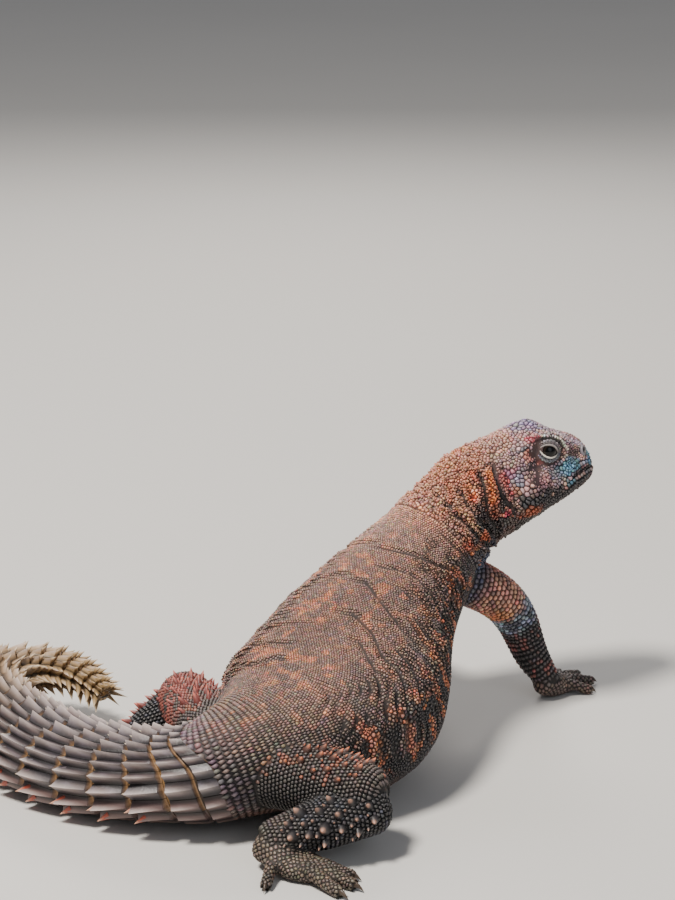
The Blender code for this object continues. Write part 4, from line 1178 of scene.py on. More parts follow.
def eyeball(side, name):
    """An eyeball: rings of places round the way it looks, and a pole before and behind."""
    theta = np.linspace(0.03, math.pi - 0.03, 40)[:, None]
    phi = even_angles(48)[None, :]
    theta, phi = np.broadcast_arrays(theta, phi)
    rings = eye_surface(side, theta, phi)
    poles = eye_surface(side, np.array([0.0, math.pi]), np.array([0.0, 0.0]))
    points = np.concatenate([rings.reshape(-1, 3), poles])
    index = np.arange(theta.size).reshape(theta.shape)
    quads, fans = ring_quads(index), pole_fans(index)
    if side < 0:
        quads, fans = quads[:, ::-1], fans[:, ::-1]
    made = add_mesh(name, points, quads, fans)
    out = np.concatenate([theta.ravel(), [0.0, math.pi]])
    colours = all_over("100c0a", len(out))
    colours = lay(colours, hill(out, 0.52, 0.06) * 0.5, "2c1f14")
    colours = lay(colours, 1 - rise(out, 0.40, 0.48), "020202")
    set_colours(made, colours)
    return made


eyes = {name: eyeball(side, name + "_ball") for side, name in ((1, "eye_left"), (-1, "eye_right"))}
print("eyeballs", len(eyes), "of", EYE_RADIUS, "mm radius")

# %% Lids
# Share of the way from the lids' rim to their root, and millimetres from the eye's centre.
LID_PROFILE = (
    (0.0, 3.72),
    (0.03, 3.98),
    (0.07, 4.12),
    (0.11, 4.10),
    (0.16, 3.92),
    (0.24, 4.00),
    (0.36, 4.34),
    (0.43, 4.30),
    (0.50, 4.22),
    (0.60, 4.42),
    (0.78, 4.55),
    (1.0, 4.3),
)
# Half length and height of the opening, and the rim's distance from the eye's centre.
OPENING, RIM_AWAY = (3.0, 1.8), 3.95
LID_REACH = math.radians(96)


def lid_surface(side, t, phi):
    """The lids: t runs from the rim to the root, phi round the opening. The rim is an ellipse
    whose sine has a power above 1, which draws it to a point at its corners, most at the
    front one, and the distance from the eye's centre follows a profile."""
    sine = np.sin(phi)
    power = 1.15 + 0.6 * rise(np.cos(phi), 0, 1)
    x = OPENING[0] * np.cos(phi)
    y = OPENING[1] * np.sign(sine) * np.abs(sine) ** power
    at_rim = np.arcsin(np.hypot(x, y) / RIM_AWAY)
    theta = at_rim + (LID_REACH - at_rim) * t
    return round_eye(side, theta, np.arctan2(y, x), smooth_table(LID_PROFILE, t)[..., 0] * MM)


def lid_marking(t, phi):
    """A pale rim, brightest below and dark at the front corner, then two grooves painted dark as shade with
    a light ridge between them. The lid is blue-grey below and a darker pink-grey above, where the brow's
    shadow is painted. That shadow also dims the rim above."""
    below = 1 - rise(np.sin(phi), -0.15, 0.35)
    # Above, the lid is painted darker as the brow's shadow; below it is blue-grey.
    out = all_over("645860", len(t))
    out = lay(out, below, "65707f")
    out = lay(out, hill(t, 0.36, 0.05) * 0.5, "a39a9c")
    # Painted shade in the two grooves of the lids' profile.
    out = lay(out, hill(t, 0.49, 0.05), "1b181c")
    out = lay(out, hill(t, 0.19, 0.06), "121013")
    corner = rise(np.cos(phi), 0.55, 0.92)
    rim = (1 - rise(t, 0.06, 0.10)) * (1 - 0.9 * corner)
    out = lay(out, corner * (1 - rise(t, 0.10, 0.30)) * 0.8, "1c2026")
    # The pale rim is painted dimmer above, as the brow's shadow.
    return lay(out, rim * (0.35 + 0.6 * below), "d3cabb")


def lids(side, name):
    """Both lids of an eye as one mesh, with their rows of places from the rim to the root."""
    t = np.linspace(0, 1, 44)[:, None]
    phi = even_angles(96)[None, :]
    t, phi = np.broadcast_arrays(t, phi)
    places = lid_surface(side, t, phi)
    quads = ring_quads(np.arange(t.size).reshape(t.shape))
    if side < 0:
        quads = quads[:, ::-1]
    made = add_mesh(name, places.reshape(-1, 3), quads)
    set_colours(made, lid_marking(t.ravel(), phi.ravel()), np.ones(t.size))
    return made


lid_pieces = [lids(1, "lids_left"), lids(-1, "lids_right")]
print("places in a pair of lids", len(lid_pieces[0].data.vertices))

# %% [markdown]
# ## Where scales grow
# Scales stand in rings round each part, every ring shifted by half a scale against the last,
# as on a real lizard. The distance between them changes with the place: small on the back,
# growing towards the tail. On head, neck and lower flanks they are irregular, so there the
# places are scattered and then spread evenly. Lips, brows and lids have rows of their own,
# which particles couldn't keep.

# %% Rings of places
def ringed(part, rows, pitch, shake=0.10):
    """Places in staggered rings: s and v arrays. pitch(s, turn) is their distance round the
    part, and the places divide the sum of length over pitch round each ring evenly."""
    row_step = np.median(np.diff(rows))
    fine = np.linspace(0, 2 * math.pi, 481)
    rings = part.surface(rows[:, None], fine[None, :])
    steps = np.linalg.norm(np.diff(rings, axis=1), axis=2)
    middle = (fine[1:] + fine[:-1]) / 2
    turn = from_crown(middle)
    load = steps / pitch(rows[:, None] / MM, turn[None, :])
    total = np.concatenate([np.zeros((len(rows), 1)), np.cumsum(load, axis=1)], axis=1)
    made_s, made_v = [], []
    for number, row in enumerate(total):
        many = max(int(round(row[-1])), 3)
        at = (np.arange(many) + 0.5 * (number % 2) + shake * chance.normal(size=many)) % many
        made_v.append(np.interp(at * row[-1] / many, row, fine))
        made_s.append(rows[number] + shake * 0.8 * row_step * chance.normal(size=many))
    return np.concatenate(made_s), np.concatenate(made_v)


def scattered(start, end, pitch, tries=60000, rounds=4):
    """Places on the body, spread evenly: random places, thick where the pitch is small, of
    which each chosen one moves to the middle of those nearest to it, in several rounds."""
    stations = np.linspace(start, end, 260)
    angles = np.linspace(0, 2 * math.pi, 281)
    grid = body.surface(stations[:, None], angles[None, :])
    along, across = grid[1:, :-1] - grid[:-1, :-1], grid[:-1, 1:] - grid[:-1, :-1]
    area = np.linalg.norm(np.cross(along, across), axis=-1)
    mid_s = (stations[1:] + stations[:-1]) / 2
    turn = from_crown((angles[1:] + angles[:-1]) / 2)
    weight = area / pitch(mid_s[:, None] / MM, turn[None, :]) ** 2
    many = int(weight.sum() * 1.1)
    cell = chance.choice(weight.size, tries, p=(weight / weight.sum()).ravel())
    row, column = np.divmod(cell, weight.shape[1])
    s = stations[row] + chance.random(tries) * (stations[1] - stations[0])
    v = angles[column] + chance.random(tries) * (angles[1] - angles[0])
    places = body.surface(s, v)
    chosen = places[:many].copy()
    for _ in range(rounds):
        tree = search_tree(chosen)
        nearest = np.array([tree.find(place)[1] for place in places])
        share = np.maximum(np.bincount(nearest, minlength=many), 1)[:, None]
        total = np.stack([np.bincount(nearest, places[:, axis], many) for axis in range(3)], -1)
        chosen = np.where(share > 1, total / share, chosen)
    tree = search_tree(places)
    best = np.unique([tree.find(place)[1] for place in chosen])
    return s[best], v[best]


def trunk_pitch(s, turn):
    """Distance between scales round the trunk: larger on the flank, belly and tail's root."""
    side = np.abs(turn)
    size = 0.86 + 0.10 * rise(side, 60, 110) + 0.25 * rise(side, 115, 140)
    return (size + 0.9 * rise(s, 166, 184)) * MM


def head_pitch(s, turn):
    """Large scales on crown and cheek, small ones on snout, neck and throat."""
    side = np.abs(turn) + 0 * s
    s = s + 0 * side
    size = 1.02 + 0.45 * hill(s, 20, 8) * (1 - rise(side, 30, 60))
    size = size + 0.60 * hill(s, 27.5, 5.5) * hill(side, 84, 26)
    size = size - 0.22 * (1 - rise(s, 8, 14)) - 0.12 * rise(s, 40, 52)
    return size * MM


def flank_pitch(s, turn):
    """Beads low on the flanks, and none elsewhere."""
    side = np.abs(turn)
    return np.where((side > 70) & (side < 119), 1.15 * MM, np.inf) + 0 * s


# %% Roots of scales
def surface_frame(part, s, v):
    """Place, outward and backward directions on a part's surface."""
    step = 0.15 * MM
    behind, before = np.minimum(s + step, part.end), np.maximum(s - step, part.start)
    back = part.surface(behind, v) - part.surface(before, v)
    round_it = part.surface(s, v + 0.02) - part.surface(s, v - 0.02)
    return part.surface(s, v), unit(np.cross(round_it, back)), unit(back)


class Seeds:
    """Roots of scales as whole arrays: place on the skin, outward and backward directions,
    the part each belongs to and where on it, height, group, and a colour if it has its own."""

    def __init__(self, place, normal, back, owner, s, v, height, group):
        many = len(place)
        self.place, self.normal = place, normal
        self.back = unit(back - normal * (back * normal).sum(1, keepdims=True))
        self.owner, self.s, self.v = np.full(many, owner), s, v
        self.height = np.full(many, height * MM)
        self.group = np.full(many, group)
        self.own = np.full((many, 3), np.nan)

    def keep(self, mask):
        """Drops the roots where the mask is false."""
        for key, value in vars(self).items():
            setattr(self, key, value[mask])
        return self

    def add(self, other):
        """Takes in the roots of another set."""
        for key, value in vars(self).items():
            setattr(self, key, np.concatenate([value, getattr(other, key)]))
        return self


def rooted(number, s, v, height, group):
    """Roots at s and v on a part, on its skin under the depth of the coat."""
    part = charts[number].part
    place, normal, back = surface_frame(part, s, v)
    place = place - normal * depth_of_coat(part, s)[:, None]
    return Seeds(place, normal, back, number, s, v, height, group)


HEAD, TRUNK, FLANK, BELLY, LIMB, DIGIT, LID = range(7)
# Millimetres from the snout of the head's scales, the trunk's rings and the flanks' beads.
HEAD_ENDS, TRUNK_START, FLANK_ENDS = (0.6, 58), 58.3, (64, 158)
TRUNK_STEPS = np.concatenate([np.full(131, 0.80), np.linspace(0.80, 1.8, 18)])

s, v = scattered(HEAD_ENDS[0] * MM, HEAD_ENDS[1] * MM, head_pitch)
seeds = rooted(0, s, v, 0.5, HEAD)
seeds.height *= (1 + 0.5 * rise(s / MM, 32, 40)) * np.exp(0.2 * chance.normal(size=len(s)))
s, v = ringed(body, (TRUNK_START + np.cumsum(TRUNK_STEPS)) * MM, trunk_pitch)
before_whorls = whorl_place(s / MM, from_crown(v)) < WHORLS[0] + 0.5
s, v = s[before_whorls], v[before_whorls]
print("last ring of the trunk", s.max() / MM)
more = rooted(0, s, v, 0.36, TRUNK)
side = turn_side(v)
more.group[side > 122] = BELLY
more.height *= 1 + 0.8 * rise(s / MM, 166, 182)
beaded = (side > 71) & (side < 118) & (s > FLANK_ENDS[0] * MM) & (s < FLANK_ENDS[1] * MM)
seeds.add(more.keep(~beaded))
s, v = scattered(FLANK_ENDS[0] * MM, FLANK_ENDS[1] * MM, flank_pitch)
seeds.add(rooted(0, s, v, 0.42, FLANK))
print("head and trunk", len(seeds.s))

# %% Rows of the lips, lids and brows
NOSTRIL_AT = (3.3, 60)      # millimetres from the snout, degrees from the crown
# How near to a lip's scale, a nostril's middle and a brow's scale no other scale may grow.
LIP_ROOM, NOSTRIL_ROOM, BROW_ROOM = 0.95 * MM, 1.75 * MM, 0.78 * MM


def cleared(seeds, places, radius):
    """Drops the roots that lie nearer than radius to any of the places."""
    tree = search_tree(places)
    away = np.array([tree.find(place)[2] for place in seeds.place])
    return seeds.keep(away > radius)


def lip_rows():
    """A row of scales above and one below the mouth's line, as s and v arrays."""
    s = np.arange(0.9, 16.0, 1.15)
    degrees = mouth_line(s)
    line = body_surface(s * MM, np.radians(degrees))
    reach = np.linalg.norm(line - spine_course.frame(s * MM)[0], axis=1)
    offset = np.degrees(0.78 * MM / reach)
    rows = [way * (degrees + shift) for way in (1, -1) for shift in (-offset, offset)]
    return np.tile(s, 4) * MM, np.radians(np.concatenate(rows)) % (2 * math.pi)


def lid_rings(side):
    """Rings of fine scales over the lids, outside the rim. Those deep in the head are left
    out."""
    centre = eye_axes(side)[0]
    t, phi = [], []
    for number, ring in enumerate(np.arange(0.22, 1.0, 0.135)):
        many = 26 + 3 * number
        phi.append(even_angles(many) + math.pi / many * (number % 2))
        t.append(np.full(many, ring))
    t, phi = np.concatenate(t), np.concatenate(phi)
    place = lid_surface(side, t, phi)
    back = lid_surface(side, t + 0.01, phi) - lid_surface(side, t - 0.01, phi)
    which, away = charts[0].near(place)
    more = Seeds(place, unit(place - centre), back, 0, charts[0].s[which], charts[0].v[which], 0.24, LID)
    more.own = lid_marking(t, phi)
    return more.keep(away > -1.3 * MM)


def brow_row(side):
    """A row of scales along the brow, laid on the skin where rays against the gaze meet it."""
    fine = np.linspace(-7.6, 6.8, 200)
    line = np.column_stack([fine, brow_height(fine)])
    along = np.concatenate([[0], np.cumsum(np.hypot(*np.diff(line, axis=0).T))])
    at = np.arange(0, along[-1], 0.92)
    centre, gaze, long, short = eye_axes(side)
    ahead, above = np.interp(at, along, line[:, 0]), np.interp(at, along, line[:, 1])
    base = centre + (ahead[:, None] * long + above[:, None] * short) * MM
    hits = [skin_tree.ray_cast(Vector(place + gaze * 12 * MM), Vector(-gaze)) for place in base]
    place = np.array([tuple(hit[0]) for hit in hits])
    normal = np.array([tuple(hit[1]) for hit in hits])
    which, _ = charts[0].near(place)
    back = -np.gradient(place, axis=0)
    return Seeds(place, normal, back, 0, charts[0].s[which], charts[0].v[which], 0.75, HEAD)


lips = rooted(0, *lip_rows(), 0.5, HEAD)
seeds = cleared(seeds, lips.place, LIP_ROOM).add(lips)
at, turn = NOSTRIL_AT
nostril_at = body_surface(np.array([at, at]) * MM, np.radians([turn, -turn]))
seeds = cleared(seeds, nostril_at, NOSTRIL_ROOM)
for side in (1, -1):
    brow = brow_row(side)
    seeds = cleared(seeds, brow.place, BROW_ROOM).add(brow)
for side in (1, -1):
    away = np.linalg.norm(seeds.place - eye_axes(side)[0], axis=1)
    seeds.keep(away > HOLLOW_BALL * MM)
    seeds.add(lid_rings(side))
print("with lips, lids and brows", len(seeds.s))

# %% Places on limbs
# For each kind of part: the distance between rows, then between scales near its root and near
# its end, in millimetres.
ROWS = {
    "arm": (1.75, 1.7, 1.4),
    "thigh": (1.15, 1.25, 1.25),
    "shin": (1.2, 1.3, 1.3),
    "hand": (0.95, 1.5, 1.3),
    "foot": (0.8, 2.0, 1.6),
    "digit": (0.9, 1.9, 1.5),
}


def settled(seeds):
    """Drops roots that lie inside another part, and lays those near a junction on the skin."""
    away = np.full(len(seeds.s), 1.0)
    for number, chart in enumerate(charts):
        other = seeds.owner != number
        away[other] = np.minimum(away[other], chart.near(seeds.place[other])[1])
    good = (away > -0.1 * MM) & (seeds.place[:, 2] > 0.12 * MM)
    seeds.keep(good)
    away = away[good]
    for number in np.flatnonzero(away < JUNCTION):
        place, normal, _, _ = skin_tree.find_nearest(seeds.place[number])
        share = 1 - max(away[number], 0) / JUNCTION
        seeds.place[number] += share * (np.array(place) - seeds.place[number])
        seeds.normal[number] = unit(seeds.normal[number] * (1 - share) + np.array(normal) * share)
    return seeds


def limb_pitch(near, far, change):
    """The pitch of a limb as a function: near at its root, and far beyond the change."""

    def pitch(s, turn):
        """Metres between scales at s millimetres, the same all round."""
        return (near + (far - near) * rise(s, change - 1, change + 1)) * MM + 0 * turn

    return pitch


for number, chart in enumerate(charts[1:], 1):
    part = chart.part
    kind = "digit" if "digit" in part.name else part.name.split("_")[0]
    row_step, near, far = ROWS[kind]
    rows = np.arange(part.start * 0.9, part.end * 0.97, row_step * MM)
    s, v = ringed(part, rows, limb_pitch(near, far, part.course.length * 0.6 / MM))
    seeds.add(rooted(number, s, v, part.coat / MM * 1.1, DIGIT if kind == "digit" else LIMB))
seeds = settled(seeds)
print("all scales", len(seeds.s))

# %% [markdown]
# ## Scales cut to the room they have
# Bump would be lighter, but real scales cast shadows and break the outline, so each is solid.
# Each scale reaches, in every direction, half way to the neighbour that hems it in there: for
# a neighbour at distance vector d and a direction u that is |d| squared over twice d dot u,
# and the least over all neighbours counts. That is a Voronoi cell, drawn with few corners.

# %% Room of every scale
AROUND = 12
# Scales of the arms form bands: less long by the first share, and wider by the second.
ARM_SHORTER, ARM_WIDER = 0.30, 0.16


def rooms(seeds, neighbours=10):
    """Reach of every scale in each of twelve directions in its own plane, its usual distance
    to a neighbour, and the direction across it."""
    tree = search_tree(seeds.place)
    found = np.array([[hit[1] for hit in tree.find_n(place, neighbours + 1)] for place in seeds.place])
    across = np.cross(seeds.normal, seeds.back)
    offset = seeds.place[found[:, 1:]] - seeds.place[:, None]
    x = (offset * seeds.back[:, None]).sum(-1)
    y = (offset * across[:, None]).sum(-1)
    flat = np.hypot(x, y)
    angles = even_angles(AROUND)
    reach = np.full((len(x), AROUND), np.inf)
    for column in range(x.shape[1]):
        toward = x[:, column, None] * np.cos(angles) + y[:, column, None] * np.sin(angles)
        limit = np.where(toward > 1e-7, flat[:, column, None] ** 2 / (2 * np.maximum(toward, 1e-7)), np.inf)
        reach = np.minimum(reach, limit)
    typical = np.sort(flat, axis=1)[:, :5].mean(1)
    return np.minimum(reach, 0.75 * typical[:, None]), typical, across


seeds.reach, seeds.size, seeds.across = rooms(seeds)
arms = [number for number, chart in enumerate(charts) if chart.part.name.startswith("arm")]
on_arm = np.isin(seeds.owner, arms)
lengthwise = np.abs(np.cos(even_angles(AROUND))) ** 4
crosswise = np.abs(np.sin(even_angles(AROUND))) ** 4
seeds.reach[on_arm] *= 1 - ARM_SHORTER * lengthwise + ARM_WIDER * crosswise
seeds.colour = marking(seeds.owner, seeds.s, seeds.v, seeds.place)
own = ~np.isnan(seeds.own[:, 0])
seeds.colour[own] = seeds.own[own]
seeds.tone = chance.normal(size=(len(seeds.s), 1)) + 0.4 * chance.normal(size=(len(seeds.s), 3))
print("scale across, mm", np.percentile(seeds.size / MM, (5, 50, 95)).round(2))

# %% [markdown]
# ## The unwrap for the bake
# When the model is exported, colours are painted into an image. Blender's own unwrap would cut
# it into too many islands, so every scale is given a small patch, where its root lies on a
# flat chart of its part: along it one way and round it the other.

# %% Charts of the unwrap
PATCH, PATCH_LIMIT = 0.0015, 0.0016      # half a scale's patch, as a share of the image


def island(number):
    """Corner and size of a part's rectangle in the unwrap: the body on the left, limbs in
    rows of three and paws and digits in rows of six on the right."""
    if number == 0:
        return 0.01, 0.01, 0.56, 0.98
    if number <= len(tubes):
        row, column = divmod(number - 1, 3)
        return 0.59 + 0.136 * column, 0.02 + 0.24 * row, 0.125, 0.22
    slot = number - 1 - len(tubes)
    row, column = divmod(slot, 6)
    return 0.59 + 0.068 * column, 0.53 + 0.11 * row, 0.06, 0.10


def unwrapped(owner, s, v):
    """Places in the unwrap for a part, how far along it and how far round."""
    out = np.zeros((len(s), 2))
    for number, chart in enumerate(charts):
        mine = owner == number
        left, low, wide, high = island(number)
        part = chart.part
        out[mine, 0] = left + wide * (v[mine] % (2 * math.pi)) / (2 * math.pi)
        out[mine, 1] = low + high * np.clip((s[mine] - part.start) / (part.end - part.start), 0, 1)
    return out


def set_unwrap(made, places):
    """Stores the unwrap OFBake, one place in it for each place of the mesh."""
    mesh = made.data
    layer = mesh.uv_layers.new(name="OFBake")
    corners = np.empty(len(mesh.loops), np.int32)
    mesh.loops.foreach_get("vertex_index", corners)
    layer.data.foreach_set("uv", places[corners].astype(np.float32).ravel())


print("rectangles of the unwrap", len(charts))

# %% [markdown]
# ## Nostrils
# A nostril is a small oval pit with a thick rim, and the pit is painted near-black as the shade inside it.
# The skin's net is too coarse to be sunk so finely, so each is a turned piece of its own, in a gap that the
# scales leave.

# %% Nostrils
# From the pit's floor over the rim to the foot: millimetres from the axis, and height.
NOSTRIL_RINGS = (
    (0.18, -0.5),
    (0.42, -0.35),
    (0.56, 0.15),
    (0.74, 0.42),
    (1.0, 0.36),
    (1.2, 0.05),
    (1.3, -0.6),
)
NOSTRIL_LONG, NOSTRIL_WIDE, NOSTRIL_AROUND = 0.9, 1.45, 20


def nostril(side):
    """A nostril: its profile turned about an axis into elliptical rings, with two poles."""
    at, turn = NOSTRIL_AT
    at_s, at_v = np.array([at * MM]), np.array([math.radians(turn * side)])
    place, out, back = (a[0] for a in surface_frame(body, at_s, at_v))
    across = np.cross(out, back)
    profile = np.array(NOSTRIL_RINGS)
    angles = even_angles(NOSTRIL_AROUND)
    cosine, sine = np.cos(angles)[:, None], np.sin(angles)[:, None]
    ring = cosine * back * NOSTRIL_LONG + sine * across * NOSTRIL_WIDE
    rings = place + (profile[:, :1, None] * ring[None] + profile[:, 1, None, None] * out) * MM
    poles = place + profile[[0, -1], 1:] * out * MM
    points = np.concatenate([rings.reshape(-1, 3), poles])
    index = np.arange(len(points) - 2).reshape(-1, NOSTRIL_AROUND)
    made = add_mesh(f"head_nostril_{side}", points, ring_quads(index), pole_fans(index))
    rim = np.concatenate([np.repeat(rise(profile[:, 0], 0.6, 0.85), NOSTRIL_AROUND), [0, 1]])
    # The pit is painted near-black as painted shade, and the rim grey.
    set_colours(made, lay(all_over("030203", len(points)), rim, "5c5862"), np.ones(len(points)))
    flat = PATCH * profile[:, :1, None] * np.concatenate([cosine, sine], 1)[None]
    root = unwrapped(np.zeros(1, int), at_s, at_v)
    set_unwrap(made, root + np.concatenate([flat.reshape(-1, 2), np.zeros((2, 2))]))
    return made


coat = [nostril(side) for side in (1, -1)]
print("nostrils", len(coat))

# %% Build scales
SHADE_SPREAD = 0.25      # how much lighter and darker than the marking single scales are


def repeated(faces, many, each):
    """The faces of one shape, numbered on for many shapes of each places."""
    return (faces[None] + (np.arange(many) * each)[:, None, None]).reshape(-1, faces.shape[1])


def scale_mesh(name, seeds, chosen, skip, profile, height, tilt, overlap, keel, gap):
    """Scales as one mesh. Each is rings round its root: a ring has share f of the reach and
    share g of the height. The rear is lifted by tilt and drawn out by overlap times the
    square of the cosine, and a keel lifts the line from front to rear."""
    angles = even_angles(AROUND)[::skip]
    reach = seeds.reach[chosen][:, ::skip] - gap * seeds.size[chosen, None]
    rear = np.clip(np.cos(angles), 0, 1)
    reach = np.maximum(reach, 0.1 * seeds.size[chosen, None]) * (1 + overlap * rear**2)
    high = seeds.height[chosen] * height
    back, across = seeds.back[chosen][:, None], seeds.across[chosen][:, None]
    rings, lifts = [], []
    for f, g in profile:
        out = f * reach[..., None] * (np.cos(angles)[:, None] * back + np.sin(angles)[:, None] * across)
        slope = tilt * f * np.cos(angles) + keel * max(g, 0) * np.abs(np.cos(angles)) ** 4
        rings.append(out + (high[:, None] * (g + slope))[..., None] * seeds.normal[chosen][:, None])
        lifts.append(np.full(len(angles), max(g, 0.0)))
    crown = ((1 + keel * 0.8) * high)[:, None, None] * seeds.normal[chosen][:, None]
    points = np.concatenate([*rings, crown], axis=1)
    place = seeds.place[chosen][:, None] + points
    place[..., 2] = np.maximum(place[..., 2], 0.02 * MM)
    many, each, sides = len(points), points.shape[1], len(angles)
    index = np.arange(len(profile) * sides).reshape(-1, sides)
    quads = ring_quads(index)[:, OTHER_WAY]
    cap = np.stack([index[-1], np.roll(index[-1], -1), np.full(sides, each - 1)], -1)
    made = add_mesh(name, place.reshape(-1, 3), repeated(quads, many, each), repeated(cap, many, each))
    # Lift: 0 at a scale's rim and 1 on its crown. From it the finish paints shade at the rim and a
    # highlight on the crown.
    lift = np.tile(np.concatenate([*lifts, [1.0]]), many)
    shade = np.exp(SHADE_SPREAD * seeds.tone[chosen])
    colours = np.clip(seeds.colour[chosen] * shade, 0, 1)[:, None]
    set_colours(made, np.repeat(colours, each, 1).reshape(-1, 3), lift)
    flat = np.stack([(points * across).sum(-1), (points * back).sum(-1)], -1)
    patch = PATCH * flat / (0.6 * seeds.size[chosen, None, None])
    root = unwrapped(seeds.owner[chosen], seeds.s[chosen], seeds.v[chosen])
    set_unwrap(made, (root[:, None] + np.clip(patch, -PATCH_LIMIT, PATCH_LIMIT)).reshape(-1, 2))
    print(name, many, "scales", len(made.data.loops) - 2 * len(made.data.polygons), "triangles")
    return made


# Rings of a scale from its rim inwards: share of the reach, share of the height.
BEAD = ((1.0, -0.5), (0.94, 0.30), (0.66, 0.85))
LOW_BEAD = ((1.0, -0.5), (0.88, 0.45), (0.60, 0.88))
FLAT = ((1.0, -0.5), (0.78, 0.72))
# Name, group, number of meshes, step between corners, rings, height, tilt, overlap, keel, gap.
COAT = (
    ("head_scales", HEAD, 3, 1, BEAD, 1.0, 0.12, 0.06, 0.0, 0.03),
    ("lid_scales", LID, 1, 2, LOW_BEAD, 1.0, 0.15, 0.05, 0.0, 0.05),
    ("trunk_scales", TRUNK, 3, 2, FLAT, 1.0, 0.35, 0.22, 0.25, 0.04),
    ("trunk_beads", FLANK, 1, 2, LOW_BEAD, 1.0, 0.15, 0.08, 0.0, 0.06),
    ("belly_scales", BELLY, 1, 2, FLAT, 0.9, 0.25, 0.15, 0.0, 0.04),
    ("limb_scales", LIMB, 2, 2, LOW_BEAD, 1.0, 0.35, 0.2, 0.15, 0.05),
    ("digit_scales", DIGIT, 1, 2, FLAT, 1.0, 0.4, 0.2, 0.0, 0.05),
)
for name, group, meshes, *rest in COAT:
    chosen = np.flatnonzero(seeds.group == group)
    chosen = chosen[np.argsort(seeds.s[chosen], kind="stable")]
    for number, share in enumerate(np.array_split(chosen, meshes)):
        coat.append(scale_mesh(f"{name}_{number}", seeds, share, *rest))

# %% [markdown]
# ## The ringed tail
# The tail carries twenty-two rings, or whorls, of horny plates. Each plate is a small tile with
# a keel down its middle that rises to the rear, where it ends in a spine. The rings are parted
# by grooves in which the bare skin shows. Below, the plates are flat and spineless. An array
# of one tile would look stamped, so a plate is a function of its own row of sizes.

# %% Rings of plates
GROOVE = 0.06            # the share of a plate's length that the groove before it takes


def ring_of_plates(k):
    """Side edges of every plate in ring k, their middles, and the lengths of their spines.
    Plates are narrower on top, and a sine of its number shifts each edge a little."""
    share = k / (len(WHORLS) - 2)
    many = 20 if k < 9 else 16 if k < 13 else 12
    even = np.linspace(-1, 1, many + 1)
    shifted = 0.22 / many * np.sin(np.arange(many + 1) * 2.4 + k * 1.7) * (1 - np.abs(even))
    edges = 180 * (even + shifted) - 12 * np.sin(math.pi * even)
    low, high = edges[:-1], edges[1:]
    middle = (low + high) / 2
    side = np.abs(middle)
    spine = (1.5 + 0.8 * share) * (0.55 + 0.65 * hill(side, 98, 36) + 0.15 * hill(side, 0, 30))
    spine = spine * (1 - rise(side, 124, 140)) * (0.0 if k < 2 else 1.0)
    return low, high, middle, spine


def tile_arrays():
    """All plates, one row each: ring, front, rear, sides, spine, and 1 if it lies below."""
    rows = []
    for k in range(len(WHORLS) - 1):
        low, high, middle, spine = ring_of_plates(k)
        long = WHORLS[k + 1] - WHORLS[k]
        under = rise(np.abs(middle), 118, 136)
        front = np.full(len(low), WHORLS[k] + 0.01 * long)
        rear = np.full(len(low), WHORLS[k + 1] - 0.05 * long)
        rows.append(np.column_stack([np.full(len(low), k), front, rear, low, high, spine, under]))
    return np.concatenate(rows)


def plate_surface(row, a, b):
    """A plate: a runs from 0 at its front to 1 at its rear, b from -1 to 1 across. Its front
    is a low band, the floor of the groove between two rings. Behind it a keel with hollow
    sides, (1 - |b|) to the power 1.7, stands on its middle line and rises to the rear."""
    k, front, rear, low, high, spine, under = (row[:, i][:, None, None] for i in range(7))
    share = k / (len(WHORLS) - 2)
    edge = band(a, 0.0, 0.02, 0.97, 1.0) * (1 - rise(np.abs(b), 0.96, 1.0))
    raised = rise(a, GROOVE, GROOVE + 0.08)
    grown = np.clip(k / 2, 0.45, 1)
    keel = (2.9 - 1.5 * share) * (1 - 0.85 * under) * (1 - np.abs(b)) ** 1.7 * (0.3 + 0.75 * a) * grown
    flare = 0.25 + 0.55 * a * (1 - 0.6 * under) * grown
    height = -1.1 + edge * (0.6 + raised * (0.35 + flare + keel))
    turn = (low + high) / 2 + (high - low) / 2 * b
    s = front + (rear - front) * a + 0.25 * spine * (1 - np.abs(b)) ** 2 * rise(a, 0.7, 1.0)
    return body_surface((s + whorl_lean(s, turn)) * MM, np.radians(turn), height * MM)


tiles = tile_arrays()
along_tile = np.array([0.0, 0.02, 0.06, 0.14, 0.4, 0.65, 0.87, 0.97, 1.0])[None, :, None]
half_across = np.array([0.08, 0.38, 0.72, 0.96, 1.0])
across_tile = np.concatenate([-half_across[::-1], [0.0], half_across])[None, None, :]
places = plate_surface(tiles, along_tile, across_tile)
places[..., 2] = np.maximum(places[..., 2], 0.03 * MM)


def grid_faces(many, rows, columns):
    """Four-sided faces of many separate grids of rows by columns places."""
    index = np.arange(rows * columns).reshape(rows, columns)
    quads = np.stack([index[:-1, :-1], index[1:, :-1], index[1:, 1:], index[:-1, 1:]], -1)
    return repeated(quads.reshape(-1, 4), many, rows * columns)


# %% Colours of the plates
def plate_marking(k, turn, places):
    """Lavender-brown near the body, redder low on the sides, and tan at the tail's end."""
    share = k / (len(WHORLS) - 2)
    side = np.abs(turn)
    middling, small, large = cloud(places, 3.0, 21), cloud(places, 1.0, 22), cloud(places, 7.0, 23)
    out = all_over("564a4e", len(k))
    out = lay(out, rise(middling, 0.4, 0.7) * 0.5, "43383c")
    out = lay(out, rise(side, 40, 76) * 0.85, "38343c")
    out = lay(out, rise(large, 0.45, 0.65) * 0.5, "5a3e36")
    out = lay(out, rise(small, 0.55, 0.75) * 0.35, "7c7484")
    out = lay(out, rise(-small, -0.45, -0.28) * 0.5, "1c191d")
    out = lay(out, band(side, 90, 108, 128, 142) * 0.75, "55302a")
    out = lay(out, rise(side, 124, 142) * 0.9, "4c352c")
    out = lay(out, rise(share, 0.28, 0.58), "9c7e5c")
    return lay(out, rise(share, 0.55, 0.95) * 0.5, "b0925e")


